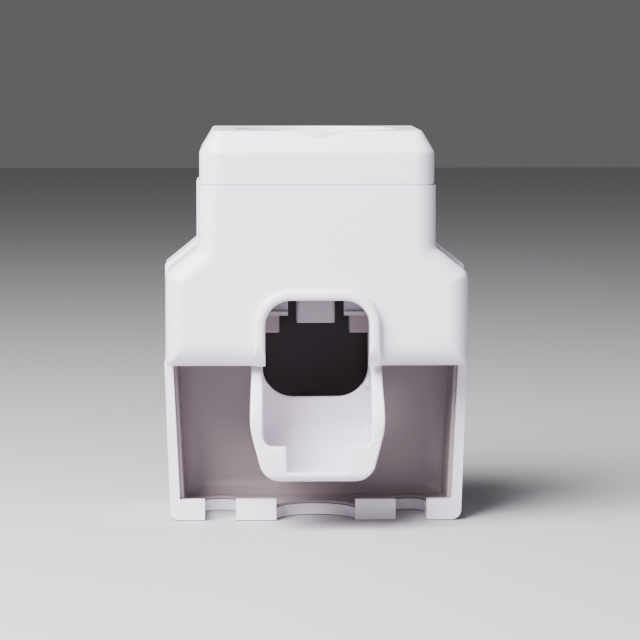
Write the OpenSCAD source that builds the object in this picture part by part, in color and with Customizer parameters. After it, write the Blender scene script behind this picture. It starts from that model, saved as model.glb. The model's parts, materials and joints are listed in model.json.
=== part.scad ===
// Wall-mounted toothpaste dispenser with a vacuum pump, a push lever and a toothbrush tray.
// Millimetres. X runs to the right, -Y comes out of the wall, Z is up.
// The origin is the centre of the adhesive pad's back face, on the wall.
// Outlines are drawn as (x, z), (x, depth) or (depth, z), where depth is the distance from the wall.

/* [Outer shell] */
// Width of the front cover across its lower half
cover_w = 72.2; // [68:0.2:80]
// Width of the front cover above its shoulders
neck_w = 56.6; // [53:0.2:60]
// Height of the collar's seat above the origin
seat_z = 33.2; // [32.8:0.1:36]
// Height at which the shoulders end and the full width starts
shoulder_z = 12.2; // [9:0.1:14]
// Angle of the shoulders from the vertical
shoulder_angle = 51; // [40:1:58]
// Depth of the front cover's face from the wall
face_depth = 46; // [45.5:0.1:50]
// Depth of the seam between the housing and the front cover
seam_depth = 18; // [16.5:0.1:22]
// Drop of the front cover's lower edge below the origin
cover_drop = 10; // [9:0.1:12]
// Thickness of the shell's walls
wall = 2; // [1.6:0.1:2.2]
// How far the housing stands outside the front cover on each side
cover_step = 0.6; // [0.3:0.1:1]
// Radius of the cover's upright front corners
corner_r = 5; // [3:0.5:6]
// Radius of the cover's lower front edge
sill_r = 6; // [4:0.5:7]
// Gap along a seam between two shells
seam_gap = 0.25; // [0.1:0.05:0.4]

/* [Tray] */
// Drop of the tray's underside below the origin
tray_drop = 49; // [48:0.1:56]
// Depth of the tray's front edge from the wall
tray_depth = 30; // [29:0.1:33]
// How much the tray narrows on each side towards its bottom
tray_taper = 1.3; // [0.5:0.1:2]
// Thickness of the tray's floor
floor_t = 2.6; // [2:0.1:3.4]
// Height of the lips above the tray's underside
lip_h = 5; // [4:0.1:7]
// Thickness of the lips
lip_t = 2.2; // [1.6:0.1:2.6]
// Width of a toothbrush slot
slot_w = 7.6; // [6.5:0.1:8.5]
// Distance of each toothbrush slot from the middle
slot_x = 23.25; // [22.5:0.05:24]
// Length of a toothbrush slot
slot_l = 16.8; // [14:0.1:18]
// Radius of the scallop in the tray's front edge
scallop_r = 9.65; // [8:0.05:10.5]
// Thickness of the tray liner
liner_t = 1.4; // [1:0.1:1.8]
// Thickness of the liner's side and floor flanges
liner_flange_t = 0.8; // [0.6:0.1:1.2]

/* [Arch] */
// Width of the arch in the front cover
arch_w = 24.8; // [24:0.1:25.4]
// Height of the arch's top above the origin
arch_z = 6.1; // [5.4:0.1:7]
// Radius of the arch's upper corners
arch_r = 6; // [4:0.5:8]
// Width of the bead around the arch
bead_w = 2.6; // [2:0.1:3.2]
// How far the bead stands out of the cover's face
bead_out = 2.5; // [1.5:0.1:3]

/* [Tube collar] */
// Height of the collar
collar_h = 12.9; // [12:0.1:16]
// Height of the collar's chamfer
chamfer_h = 5; // [3:0.1:6]
// How far the chamfer leans in
chamfer_in = 3; // [2:0.1:3.4]
// Diameter of the toothpaste tube that the collar takes
tube_d = 38; // [34:0.5:38.5]
// Radial clearance around the tube
tube_gap = 0.4; // [0.2:0.05:0.6]
// Distance of the tube's axis behind the cover's face
tube_set_back = 23.5; // [22.5:0.1:24]
// Diameter of the tube's neck
tube_neck_d = 13; // [11:0.1:13.4]

/* [Push lever] */
// How much wider than the arch the lever is inside, on each side
lever_margin = 0.55; // [0.3:0.05:0.8]
// Thickness of the lever's arms at the hinge
arm_t = 2.55; // [2.2:0.05:2.8]
// How much wider than the arms the scoop is on each side
scoop_flare = 0.65; // [0:0.05:0.9]
// How far the scoop's lip stands out of the cover's face
scoop_out = 4.5; // [3.5:0.1:6]
// Drop of the scoop's underside below the origin
scoop_drop = 36.9; // [35:0.1:38]
// Height of the lip above the scoop's underside
scoop_lip_h = 8.4; // [7:0.1:10]
// Width of the notch in the lip
notch_w = 14.6; // [10:0.1:17]
// Depth of the notch below the top of the lip
notch_h = 6.1; // [4:0.1:6.4]
// Drop of the top edge of the scoop's back wall below the origin
scoop_back_drop = 19.4; // [18:0.1:22]
// Thickness of the scoop's back and floor
scoop_t = 1.5; // [1.3:0.1:2.2]
// Distance of the hinge axis behind the cover's face
hinge_set_back = 11.5; // [11:0.1:11.8]
// Distance of the hinge axis below the collar's seat
hinge_drop = 6.7; // [6:0.1:7]
// Diameter of the hinge axle
axle_d = 3; // [2.5:0.1:3.2]
// Travel of the press plate over the lever's full swing
press_travel = 2.8; // [2.4:0.1:3]

/* [Pump] */
// Distance of the pump's axis below the collar's seat
pump_drop = 19.7; // [19.2:0.1:20]
// Gap between the pump chamber and the lever's arms
chamber_gap = 1.15; // [0.9:0.05:1.4]
// Width of the band beside the chamber's bore that holds the guide pins
pin_band = 4.8; // [4.7:0.1:5.4]
// Depth of the chamber's back face from the wall
chamber_back = 16.6; // [16:0.1:17.2]
// Distance of the chamber's front behind the cover's face
chamber_set_back = 18; // [17.8:0.1:18.4]
// Thickness of the diaphragm's flange
flange_t = 1.2; // [0.8:0.1:1.6]
// Height of the diaphragm's dome in front of the chamber
dome_h = 6.5; // [5.8:0.1:6.8]
// Thickness of the diaphragm frame
frame_t = 1.8; // [1.4:0.1:2]
// Thickness of the press plate
press_t = 1.8; // [1.4:0.1:2]
// Width of the nozzle
nozzle_w = 9.3; // [8:0.1:11]
// How far the nozzle hangs below the chamber
nozzle_drop = 5.4; // [4.6:0.1:6.4]

/* [Wall fixing] */
// Width of the adhesive pad
pad_w = 46; // [40:1:50]
// Height of the adhesive pad
pad_h = 56; // [48:1:60]
// Thickness of the adhesive pad
pad_t = 1; // [0.6:0.1:1.4]
// Thickness of the wall plate
plate_t = 2.2; // [1.8:0.1:2.4]
// Gap between the wall plate and the housing's back web
plate_gap = 1; // [0.8:0.1:1.4]
// Height of the hook that the housing hangs on, above the origin
hook_z = 8.5; // [8:0.1:9.5]
// Width of each hook
hook_w = 5.8; // [5:0.1:6.2]
// Distance of each hook from the middle
hook_x = 13.3; // [13.2:0.1:13.8]
// How far a hook's tongue reaches above its stem
hook_reach = 8; // [6:0.1:9]

/* [Hidden] */
$fn = 64;
arc_steps = 8;
eps = 0.01;
white = "#ECEAEE";
mauve = "#7B7075";
charcoal = "#353137";
silicone = "#DCDCE0";
steel = "#B9BCC0";
foam = "#C9C9CC";

// Shell
hinge_depth = face_depth - hinge_set_back;
hinge_z = seat_z - hinge_drop;
tube_depth = face_depth - tube_set_back;
scoop_depth = face_depth + scoop_out;
half_cover = cover_w / 2;
half_neck = neck_w / 2;
cover_z = -cover_drop;
sag = tan(shoulder_angle / 2);
shoulder_top_z = shoulder_z + (half_cover - half_neck) / tan(shoulder_angle);
skirt_depth = 0.6;
web_back = pad_t + plate_t + plate_gap;
web_t = 2;
web_front = web_back + web_t;
panel_gap = 0.1;
ledge_t = 1;
ledge_w = 1.6;
liner_front = web_front + liner_t;

// Tray
half_body = half_cover + cover_step;
tray_z = -tray_drop;
floor_z = tray_z + floor_t;
half_tray = half_body - tray_taper;
tray_corner_r = 2.4;
inner_corner_r = max(0.5, tray_corner_r - 1);
rim_growth = 0.4;
slot_end = tray_depth - slot_l + slot_w / 2;
liner_gap = 0.15;
liner_top_z = hook_z + hook_reach + 2;
liner_set_back = lip_t + 0.3;

// Window behind the nozzle, seen through the arch
window_w = 27;
window_z = -24;
window_neck_w = 17.5;
window_top_z = 2.8;
window_margin = 0.3;

// Tabs that hold the front cover in the housing
tab_t = 1.6;
tab_back = seam_depth - 6;

// Room between the lever and the shelf behind the cover's lower edge
shelf_gap = 1.5;

// Hooks and the pockets that cover them
hook_stem_h = 3.5;
hook_t = 3.5;
hook_play = 0.5;
pocket_wall = 1.25;
pocket_w = hook_w + 2 * hook_play + 2 * pocket_wall;
pocket_depth = 15.5;
lift_play = 0.35;
hang_slot_z = hook_z - hook_stem_h - hook_reach - lift_play;
pocket_z = hang_slot_z - pocket_wall;

// Collar
half_collar = half_neck - 0.35;
collar_face = face_depth - 0.3;
collar_top_z = seat_z + collar_h;
collar_wall = 1.8;
tube_bore_r = tube_d / 2 + tube_gap;
socket_h = 4.1;
funnel_z = seat_z + 3.5;
spigot_h = 1.8;

// Lever
half_lever_in = arch_w / 2 + lever_margin;
half_arm = half_lever_in + arm_t;
half_scoop = half_arm + scoop_flare;
arm_front = hinge_depth + 4;
arm_back = hinge_depth - 6.5;
scoop_back = hinge_depth - 11.5;
scoop_z = -scoop_drop;
bend_z = cover_z + 1;
lip_z = scoop_z + scoop_lip_h;
lip_wall = 2;
scoop_tuck = 3.45;
scoop_corner_r = 5.5;
flare_z = scoop_z + 12.9;
flare_top_z = cover_z + 2;
flare_r = 18;
hollow_tuck = 2.35;
cam_half = 5;
back_edge_z = -scoop_back_drop;
boss_r = 4;
boss_out = 1.4;
hinge_gap = 0.3;
running_gap = 0.06;
bracket_t = 2.6;
bracket_neck = 8;
bracket_x = half_arm + boss_out + hinge_gap;
axle_end_x = bracket_x + bracket_t + 1.9;
clip_t = 0.6;
clip_x = bracket_x + bracket_t + 0.3;
clip_groove = 0.4;
clip_out = 1.3;

// Screws
screw_gap = 0.05;
screw_tip_gap = 0.3;
screw_r = 0.8;
screw_head_r = 1.6;
screw_head_h = 1.1;

// Pump
pump_z = seat_z - pump_drop;
chamber_front = face_depth - chamber_set_back;
half_chamber = half_lever_in - chamber_gap;
chamber_bore_r = half_chamber - pin_band;
flange_r = chamber_bore_r + 1.6;
chamber_z = pump_z - flange_r - 0.3;
nozzle_z = chamber_z - nozzle_drop;
chamber_top_z = pump_z + flange_r + 1.9;
deck_t = 2;
deck_z = chamber_top_z + deck_t;
cavity_back = chamber_back + 1.8;
dome_r = chamber_bore_r + 0.2;
dome_t = 1;
frame_back = chamber_front + flange_t;
frame_front = frame_back + frame_t;
frame_z = chamber_z - 3.4;
frame_top_z = chamber_top_z - 0.6;
half_frame = half_chamber + 0.2;
frame_notch_w = 13.6;
frame_notch_z = chamber_z + 0.6;
dome_tip = chamber_front + dome_h;
press_back = dome_tip + 0.1;
press_front = press_back + press_t;
half_press = half_chamber - 0.4;
press_h = 4.8;
press_disc_r = 5.5;
pin_r = 1.1;
pin_x = half_chamber - 1.6;
pin_l = 9;
cam_r = 1.8;
cam_gap = 0.3;
cam_depth = press_front + cam_gap + cam_r;
bar_front = cam_depth + 3;
post_x = 5;
post_r = 3;
post_low_z = chamber_z + 2;
post_high_z = chamber_top_z - 2;
post_thread_l = 4;
frame_screw_x = half_chamber - 2.4;
frame_screw_dz = 7;
frame_thread_l = 3.6;
outlet_depth = chamber_front - 3;
outlet_r = 2.2;
spout_r = 3;
spout_h = 2.4;
nozzle_l = 9;
nozzle_front = outlet_depth + nozzle_l / 2;

// Inlet
inlet_r = 3.3;
inlet_hole_r = 0.6;
inlet_hole_ring_r = 2;
valve_stem_r = 0.7;
seal_ring_r = 4.6;
seal_r = 0.5;
cup_floor_t = 2.4;
cup_floor_z = deck_z + cup_floor_t;
cup_r = tube_neck_d / 2 + 2.1;
cup_bore_r = cup_r - 1;
cup_top_z = seat_z - 0.2;
fitting_flange_t = 1.8;
fitting_screw_edge = 1.8;
fitting_screw_angle = 24;
fitting_screw_ring_r = cup_r + screw_head_r + 0.4;
fitting_screw_x = fitting_screw_ring_r * cos(fitting_screw_angle);
fitting_screw_out = fitting_screw_ring_r * sin(fitting_screw_angle);
fitting_screw_l = 2.4;
half_deck = fitting_screw_x + fitting_screw_edge;
deck_back = tube_depth - fitting_screw_out - fitting_screw_edge;
deck_front = tube_depth + fitting_screw_out + fitting_screw_edge;
sleeve_gap = 0.1;
sleeve_rise = 1.4;
sleeve_lip_t = 1;
sleeve_flange_r = cup_r + 1.6;
sleeve_flange_t = 1.2;
retainer_r = sleeve_flange_r + 0.9;
retainer_t = 1.3;
funnel_r = retainer_r + 0.5;

// Corner of an outline rounded to radius r, as the points of its arc
function corner(a, b, c, r) =
    let (
        u = (a - b) / norm(a - b),
        v = (c - b) / norm(c - b),
        half = acos(max(-1, min(1, u * v))) / 2,
        middle = b + (u + v) / norm(u + v) * r / sin(half),
        start = b + u * r / tan(half) - middle,
        turn = (u[0] * v[1] - u[1] * v[0] > 0 ? -1 : 1) * (180 - 2 * half)
    )
    [for (i = [0:arc_steps])
        let (w = turn * i / arc_steps)
        middle + [start[0] * cos(w) - start[1] * sin(w), start[0] * sin(w) + start[1] * cos(w)]];

// Outline with each corner rounded to its own radius
function rounded(points, radii) =
    let (n = len(points))
    [for (i = [0:n - 1])
        let (b = points[i])
        each radii[i] <= 0 ? [b] : corner(points[(i + n - 1) % n], b, points[(i + 1) % n], radii[i])];

// Rectangle with its corners in the order low left, low right, high right, high left
function box_points(x0, y0, x1, y1) = [[x0, y0], [x1, y0], [x1, y1], [x0, y1]];

// Front outline of the shell, moved in by inset, from z0 to z1
function shell_points(inset, z0, z1) =
    let (
        low = half_cover - inset,
        high = half_neck - inset,
        za = shoulder_z - inset * sag,
        zb = shoulder_top_z - inset * sag
    )
    [[-low, z0], [low, z0], [low, za], [high, zb], [high, z1], [-high, z1], [-high, zb], [-low, za]];

// Front outline of the tray between the heights z0 and z1, moved in by inset at the top
function tray_points(inset, grow, z0, z1) =
    let (
        top = half_body - inset,
        low = half_tray - inset - grow
    )
    [[-low, z0], [low, z0], [top, z1], [-top, z1]];

// Plan of the cover or collar: straight at the back, with two round front corners
function plan_points(half, back, front, r) = rounded(box_points(-half, back, half, front), [0, 0, r, r]);

// (x, z) outline, drawn from one depth to another
module front_slab(d0, d1) {
    translate([0, -d0, 0])
        rotate([90, 0, 0])
            linear_extrude(height = d1 - d0)
                children();
}

// (depth, z) outline, drawn from x0 to x1
module side_slab(x0, x1) {
    translate([x1, 0, 0])
        rotate([90, 0, -90])
            linear_extrude(height = x1 - x0)
                children();
}

// (x, depth) outline, drawn from z0 to z1
module plan_slab(z0, z1) {
    translate([0, 0, z0])
        linear_extrude(height = z1 - z0)
            mirror([0, 1])
                children();
}

// Block between two corners given as [x, depth, z]
module block(a, b) {
    translate([a[0], -b[1], a[2]])
        cube([b[0] - a[0], b[1] - a[1], b[2] - a[2]]);
}

// Round rod along the depth
module rod_out(x, z, d0, d1, r) {
    translate([x, -d0, z])
        rotate([90, 0, 0])
            cylinder(h = d1 - d0, r = r);
}

// Round rod standing up
module rod_up(x, d, z0, z1, r) {
    translate([x, -d, z0])
        cylinder(h = z1 - z0, r = r);
}

// Round rod across, from x0 to x1
module rod_across(d, z, x0, x1, r) {
    translate([x0, -d, z])
        rotate([0, 90, 0])
            cylinder(h = x1 - x0, r = r);
}

// Both sides of the middle plane
module both_sides() {
    children();
    mirror([1, 0, 0])
        children();
}

// Screw along Z with its head's underside at the origin and a cross recess
module screw(length) {
    difference() {
        union() {
            cylinder(h = screw_head_h, r = screw_head_r);
            translate([0, 0, -length])
                cylinder(h = length + eps, r = screw_r);
        }
        for (turn = [0, 90])
            rotate([0, 0, turn])
                translate([-screw_head_r * 0.6, -0.25, screw_head_h - 0.6])
                    cube([screw_head_r * 1.2, 0.5, 1]);
    }
}

// Screw put in from the wall side, with its head in a recess
module screw_from_back(x, z, head_depth, length) {
    translate([x, -head_depth, z])
        rotate([-90, 0, 0])
            screw(length);
}

// Hole and head recess for a screw from the wall side
module screw_hole(x, z, d0, d1, head_depth) {
    rod_out(x, z, d0, d1, screw_r + screw_gap);
    rod_out(x, z, d0, head_depth, screw_head_r + 0.2);
}

// Positions that several pieces share
post_spots = [[-post_x, post_low_z], [post_x, post_low_z], [-post_x, post_high_z], [post_x, post_high_z]];
liner_boss_x = 25;
liner_boss_z = [-3, shoulder_z - 1.2];
liner_screw_spots = [for (s = [-1, 1], z = liner_boss_z) [s * liner_boss_x, z]];
frame_screw_spots = [for (s = [-1, 1], t = [-1, 1]) [s * frame_screw_x, pump_z + t * frame_screw_dz]];
fitting_screw_spots = [for (s = [-1, 1], t = [-1, 1])
    [s * fitting_screw_x, tube_depth + t * fitting_screw_out]];
screw_seat = web_back + screw_head_h + 0.2;

// Wall fixing

module adhesive_pad() {
    color(foam)
        front_slab(0, pad_t)
            polygon(rounded(box_points(-pad_w / 2, -pad_h / 2, pad_w / 2, pad_h / 2), [5, 5, 5, 5]));
}

module wall_plate() {
    edge = 2;
    color(charcoal) {
        front_slab(pad_t, pad_t + plate_t)
            polygon(rounded(
                box_points(-pad_w / 2 - edge, -pad_h / 2 - edge, pad_w / 2 + edge, pad_h / 2 + edge),
                [6, 6, 6, 6]));
        both_sides() {
            x0 = hook_x - hook_w / 2;
            x1 = hook_x + hook_w / 2;
            tongue = web_front + hook_play;
            side_slab(x0, x1)
                polygon([
                    [pad_t + eps, hook_z - hook_stem_h], [tongue + hook_t, hook_z - hook_stem_h],
                    [tongue + hook_t, hook_z + hook_reach - 1], [tongue + hook_t - 1, hook_z + hook_reach],
                    [tongue, hook_z + hook_reach], [tongue, hook_z], [pad_t + eps, hook_z]
                ]);
        }
    }
}

// Housing

// Floor cuts for the toothbrush slots and the scallop, wider by margin
module tray_cuts(margin, z0, z1) {
    plan_slab(z0, z1) {
        for (s = [-1, 1]) {
            translate([s * slot_x - slot_w / 2 - margin, slot_end])
                square([slot_w + 2 * margin, tray_depth - slot_end + 1]);
            translate([s * slot_x, slot_end])
                circle(r = slot_w / 2 + margin);
        }
        translate([0, tray_depth + 0.3])
            circle(r = scallop_r + margin);
    }
}

// Window through the web and the liner, wider by margin
module window_points(margin) {
    polygon(rounded(
        box_points(-window_w / 2 - margin, window_z - margin, window_w / 2 + margin, pocket_z + margin),
        [3, 3, 0, 0]));
    translate([-window_neck_w / 2 - margin, pocket_z - 1])
        square([window_neck_w + 2 * margin, window_top_z - pocket_z + 1]);
}

module hinge_bracket() {
    side_slab(bracket_x, bracket_x + bracket_t)
        difference() {
            union() {
                polygon([
                    [web_front - eps, hinge_z - boss_r - 0.5], [hinge_depth - bracket_neck, hinge_z - boss_r],
                    [hinge_depth, hinge_z - boss_r], [hinge_depth, hinge_z + boss_r],
                    [web_front - eps, hinge_z + boss_r]
                ]);
                translate([hinge_depth, hinge_z])
                    circle(r = boss_r);
            }
            translate([hinge_depth, hinge_z])
                circle(r = axle_d / 2 + 0.02);
        }
    block([bracket_x + bracket_t - eps, web_front - eps, hinge_z - 2],
        [half_neck + cover_step - wall - panel_gap, tab_back - 0.5, hinge_z]);
}

module lips() {
    gap_in = scallop_r;
    gap_out = slot_x - slot_w / 2;
    outer_in = slot_x + slot_w / 2;
    intersection() {
        front_slab(tray_depth - lip_t, tray_depth)
            for (s = [-1, 1]) {
                translate([s > 0 ? gap_in : -gap_out, tray_z])
                    square([gap_out - gap_in, lip_h]);
                translate([s > 0 ? outer_in : -half_body, tray_z])
                    square([half_body - outer_in, lip_h]);
            }
        tray_solid(0, tray_depth);
    }
}

module tray_solid(d0, d1) {
    front_slab(d0, d1)
        polygon(rounded(tray_points(0, 0, tray_z, cover_z - seam_gap),
            [tray_corner_r, tray_corner_r, 0, 0]));
}

// Room inside the housing's walls up to a height, moved in by inset
module inner_points(inset, top_z) {
    corner_inset_r = max(0.4, inner_corner_r - inset);
    polygon(shell_points(wall - cover_step + inset, cover_z - 1, top_z));
    polygon(rounded(tray_points(wall + inset, rim_growth, floor_z + inset, cover_z + eps),
        [corner_inset_r, corner_inset_r, 0, 0]));
}

module back_housing() {
    color(white)
        difference() {
            union() {
                difference() {
                    union() {
                        front_slab(skirt_depth, seam_depth)
                            polygon(shell_points(-cover_step, cover_z - seam_gap - eps, seat_z));
                        tray_solid(skirt_depth, tray_depth);
                    }
                    front_slab(skirt_depth - 1, web_back - ledge_t)
                        inner_points(0, seat_z + 1);
                    front_slab(skirt_depth, web_back + eps)
                        inner_points(ledge_w, seat_z + 1);
                    front_slab(web_back, tray_depth + 1)
                        inner_points(0, seat_z + 1);
                }
                lips();
            }
            tray_cuts(0, tray_z - 1, tray_z + lip_h + 1);
        }
}

// Panel that closes the housing's back and carries the pump and the hinge
module back_panel() {
    color(white)
        difference() {
            union() {
                front_slab(web_back, web_front)
                    inner_points(panel_gap, seat_z);
                both_sides()
                    hinge_bracket();
                for (p = post_spots)
                    rod_out(p[0], p[1], web_front - eps, chamber_back, post_r);
            }
            front_slab(web_back - 1, web_front + 1)
                window_points(window_margin);
            both_sides()
                front_slab(web_back - 1, web_front + 1)
                    translate([hook_x - hook_w / 2 - hook_play, hang_slot_z])
                        square([hook_w + 2 * hook_play, hook_z - hang_slot_z]);
            for (p = post_spots)
                screw_hole(p[0], p[1], web_back - 1, chamber_back + 1, screw_seat);
            for (p = liner_screw_spots)
                screw_hole(p[0], p[1], web_back - 1, web_front + 1, screw_seat);
        }
}

module tray_liner() {
    top_half = liner_boss_x + 3.5;
    edge_z = cover_z - 1.2;
    far = tray_depth - liner_set_back;
    x0 = hook_x - pocket_w / 2;
    x1 = hook_x + pocket_w / 2;
    outer = wall + liner_gap;
    outer_r = inner_corner_r + liner_gap;
    inside_r = max(0.4, outer_r - liner_flange_t);
    color(mauve)
        difference() {
            union() {
                front_slab(web_front, liner_front) {
                    polygon(rounded(
                        tray_points(outer, rim_growth, floor_z, edge_z),
                        [outer_r, outer_r, 0, 0]));
                    translate([-top_half, edge_z - 1])
                        square([2 * top_half, liner_boss_z[1] + 3 - edge_z + 1]);
                    for (s = [-1, 1])
                        translate([s * hook_x - pocket_w / 2, edge_z])
                            square([pocket_w, liner_top_z - edge_z]);
                }
                difference() {
                    front_slab(liner_front - eps, far)
                        polygon(rounded(
                            tray_points(outer, rim_growth, floor_z, edge_z),
                            [outer_r, outer_r, 0, 0]));
                    front_slab(liner_front - 1, far + 1)
                        polygon(rounded(
                            tray_points(outer + liner_flange_t, rim_growth,
                                floor_z + liner_flange_t, edge_z + 1),
                            [inside_r, inside_r, 0, 0]));
                }
                both_sides()
                    block([x0, web_front, pocket_z], [x1, pocket_depth, liner_top_z]);
                for (p = liner_screw_spots)
                    rod_out(p[0], p[1], web_front, liner_front + 2.6, 2.2);
            }
            tray_cuts(0.3, floor_z - 1, floor_z + 5);
            front_slab(web_front - 1, liner_front + 0.5)
                window_points(0);
            front_slab(web_front - 1, liner_front + 0.5)
                translate([-window_neck_w / 2, pocket_z])
                    square([window_neck_w, liner_top_z]);
            both_sides()
                block([x0 + pocket_wall, web_front - 1, hang_slot_z],
                    [x1 - pocket_wall, pocket_depth - 1.6, liner_top_z - pocket_wall]);
            for (p = liner_screw_spots)
                rod_out(p[0], p[1], web_front - 1, liner_front + 1.8, screw_r + screw_gap);
        }
}

module liner_screws() {
    color(steel)
        for (p = liner_screw_spots)
            screw_from_back(p[0], p[1], screw_seat, liner_front + 1.6 - screw_seat);
}

// Front cover

// Cover's form, moved in by inset, without its lower front edge
module cover_form(inset, z0, z1, back) {
    low = half_cover - inset;
    high = half_neck - inset;
    za = shoulder_z - inset * sag;
    zb = shoulder_top_z - inset * sag;
    front = face_depth - inset;
    r = corner_r - inset;
    plan_slab(z0, za)
        polygon(plan_points(low, back, front, r));
    hull() {
        plan_slab(za - eps, za)
            polygon(plan_points(low, back, front, r));
        plan_slab(zb, zb + eps)
            polygon(plan_points(high, back, front, r));
    }
    plan_slab(zb, z1)
        polygon(plan_points(high, back, front, r));
}

module arch_points(grow) {
    half = arch_w / 2 + grow;
    polygon(rounded(box_points(-half, cover_z, half, arch_z + grow), [0, 0, arch_r + grow, arch_r + grow]));
}

module front_cover() {
    inner_r = sill_r - wall - shelf_gap;
    shelf_depth = face_depth - sill_r + shelf_gap;
    color(white)
        difference() {
            union() {
                difference() {
                    intersection() {
                        cover_form(0, cover_z, seat_z, seam_depth);
                        side_slab(-half_cover - 1, half_cover + 1)
                            polygon(rounded(
                                box_points(seam_depth - 1, cover_z, face_depth, seat_z + 1),
                                [0, sill_r, 0, 0]));
                    }
                    intersection() {
                        cover_form(wall, cover_z - 1, seat_z + 1, seam_depth - 1);
                        side_slab(-half_cover, half_cover)
                            polygon(rounded([
                                [seam_depth - 1, cover_z - 2], [shelf_depth, cover_z - 2],
                                [shelf_depth, cover_z + wall],
                                [face_depth - wall, cover_z + wall],
                                [face_depth - wall, seat_z + 2], [seam_depth - 1, seat_z + 2]
                            ], [0, 0, 0, inner_r, 0, 0]));
                    }
                }
                intersection() {
                    front_slab(shelf_depth, face_depth + bead_out)
                        arch_points(bead_w);
                    side_slab(-half_cover, half_cover)
                        polygon(rounded(
                            box_points(seam_depth, cover_z, face_depth + bead_out, arch_z + bead_w + 1),
                            [0, sill_r, 0, 0]));
                }
                both_sides() {
                    block([half_cover - wall - tab_t, tab_back, cover_z + 4],
                        [half_cover - wall + eps, seam_depth + 6, cover_z + 14]);
                    block([half_neck - wall - tab_t, tab_back, seat_z - 12],
                        [half_neck - wall + eps, seam_depth + 6, seat_z - 3]);
                }
            }
            front_slab(shelf_depth - 1, face_depth + bead_out + 1) {
                arch_points(0);
                translate([-arch_w / 2, cover_z - 1])
                    square([arch_w, 2]);
            }
        }
}

module lever_bumpers() {
    color(charcoal)
        both_sides()
            block([half_lever_in + 0.1, arm_front + cam_gap, hinge_z - 9],
                [half_arm - 0.1, face_depth - wall, hinge_z - 4]);
}

// Tube collar

// Collar's form, moved in by inset
module collar_form(inset, z0) {
    half = half_collar - inset;
    front = collar_face - inset;
    r = corner_r - inset;
    bend_z = collar_top_z - chamfer_h - inset * 0.3;
    top_z = collar_top_z - inset;
    plan_slab(z0, bend_z)
        polygon(plan_points(half, skirt_depth + inset, front, r));
    hull() {
        plan_slab(bend_z - eps, bend_z)
            polygon(plan_points(half, skirt_depth + inset, front, r));
        plan_slab(top_z - eps, top_z)
            polygon(plan_points(half - chamfer_in, skirt_depth + inset, front - chamfer_in, max(1, r - 2)));
    }
}

module tube_collar() {
    spigot_half = half_neck - wall - 0.4;
    spigot_back = web_front + 0.4;
    spigot_front = face_depth - wall - 0.5;
    color(white)
        difference() {
            union() {
                difference() {
                    collar_form(0, seat_z + seam_gap);
                    collar_form(collar_wall, seat_z - 1);
                }
                intersection() {
                    collar_form(0, seat_z + seam_gap);
                    rod_up(0, tube_depth, seat_z, collar_top_z, tube_bore_r + collar_wall);
                }
                plan_slab(seat_z - spigot_h, seat_z + 2)
                    difference() {
                        polygon(plan_points(spigot_half, spigot_back, spigot_front, corner_r - wall));
                        polygon(plan_points(spigot_half - 1.6, spigot_back + 1.6, spigot_front - 1.6, 2));
                    }
            }
            rod_up(0, tube_depth, collar_top_z - socket_h, collar_top_z + 1, tube_bore_r);
            translate([0, -tube_depth, funnel_z])
                cylinder(h = collar_top_z - socket_h - funnel_z + eps, r1 = funnel_r, r2 = tube_bore_r);
            rod_up(0, tube_depth, seat_z - 3, funnel_z + eps, funnel_r);
        }
}

// Inlet

module inlet_fitting() {
    color(white)
        difference() {
            union() {
                plan_slab(deck_z, deck_z + fitting_flange_t)
                    deck_points();
                rod_up(0, tube_depth, deck_z, cup_top_z, cup_r);
            }
            rod_up(0, tube_depth, cup_floor_z, cup_top_z + 1, cup_bore_r);
            rod_up(0, tube_depth, deck_z - 1, cup_floor_z + 1, valve_stem_r + screw_gap);
            for (turn = [0:60:300])
                rod_up(inlet_hole_ring_r * cos(turn), tube_depth + inlet_hole_ring_r * sin(turn),
                    deck_z - 1, cup_floor_z + 1, inlet_hole_r);
            for (p = fitting_screw_spots)
                rod_up(p[0], p[1], deck_z - 1, cup_top_z, screw_r + screw_gap);
        }
}

// Plan of the chamber's deck and of the fitting's flange
module deck_points() {
    polygon(rounded(box_points(-half_deck, deck_back, half_deck, deck_front), [1.6, 1.6, 1.6, 1.6]));
}

module inlet_valve() {
    color(silicone)
        translate([0, -tube_depth, deck_z])
            rotate_extrude()
                polygon([
                    [0, -1.4], [1.6, -1.3], [2.9, -0.5], [2.9, -0.1],
                    [valve_stem_r, -0.1], [valve_stem_r, cup_floor_t + 0.1],
                    [1.2, cup_floor_t + 0.1], [0.6, cup_floor_t + 1.2], [0, cup_floor_t + 1.2]
                ]);
}

module chamber_seal() {
    color(charcoal)
        translate([0, -tube_depth, deck_z - seal_r - 0.02])
            rotate_extrude()
                translate([seal_ring_r, 0])
                    circle(r = seal_r);
}

module tube_sleeve() {
    bore_r = tube_neck_d / 2;
    base_z = cup_floor_z + sleeve_rise;
    sleeve_h = cup_top_z + sleeve_flange_t - base_z;
    color(silicone)
        translate([0, -tube_depth, 0])
            difference() {
                union() {
                    translate([0, 0, base_z])
                        cylinder(h = sleeve_h, r = cup_bore_r - sleeve_gap);
                    translate([0, 0, cup_top_z])
                        cylinder(h = sleeve_flange_t, r = sleeve_flange_r);
                }
                translate([0, 0, base_z + sleeve_lip_t])
                    cylinder(h = sleeve_h, r = bore_r);
                translate([0, 0, base_z - 1])
                    cylinder(h = sleeve_h, r = bore_r - 1.5);
            }
}

module sleeve_retainer() {
    top_z = cup_top_z + sleeve_flange_t;
    color(white)
        translate([0, -tube_depth, 0])
            difference() {
                translate([0, 0, cup_top_z - 1.4])
                    cylinder(h = top_z + retainer_t - cup_top_z + 1.4, r = retainer_r);
                translate([0, 0, cup_top_z - 2])
                    cylinder(h = sleeve_flange_t + 2, r = sleeve_flange_r);
                translate([0, 0, top_z - 1])
                    cylinder(h = retainer_t + 2, r = tube_neck_d / 2 + 1.5);
            }
}

// Pump

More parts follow.
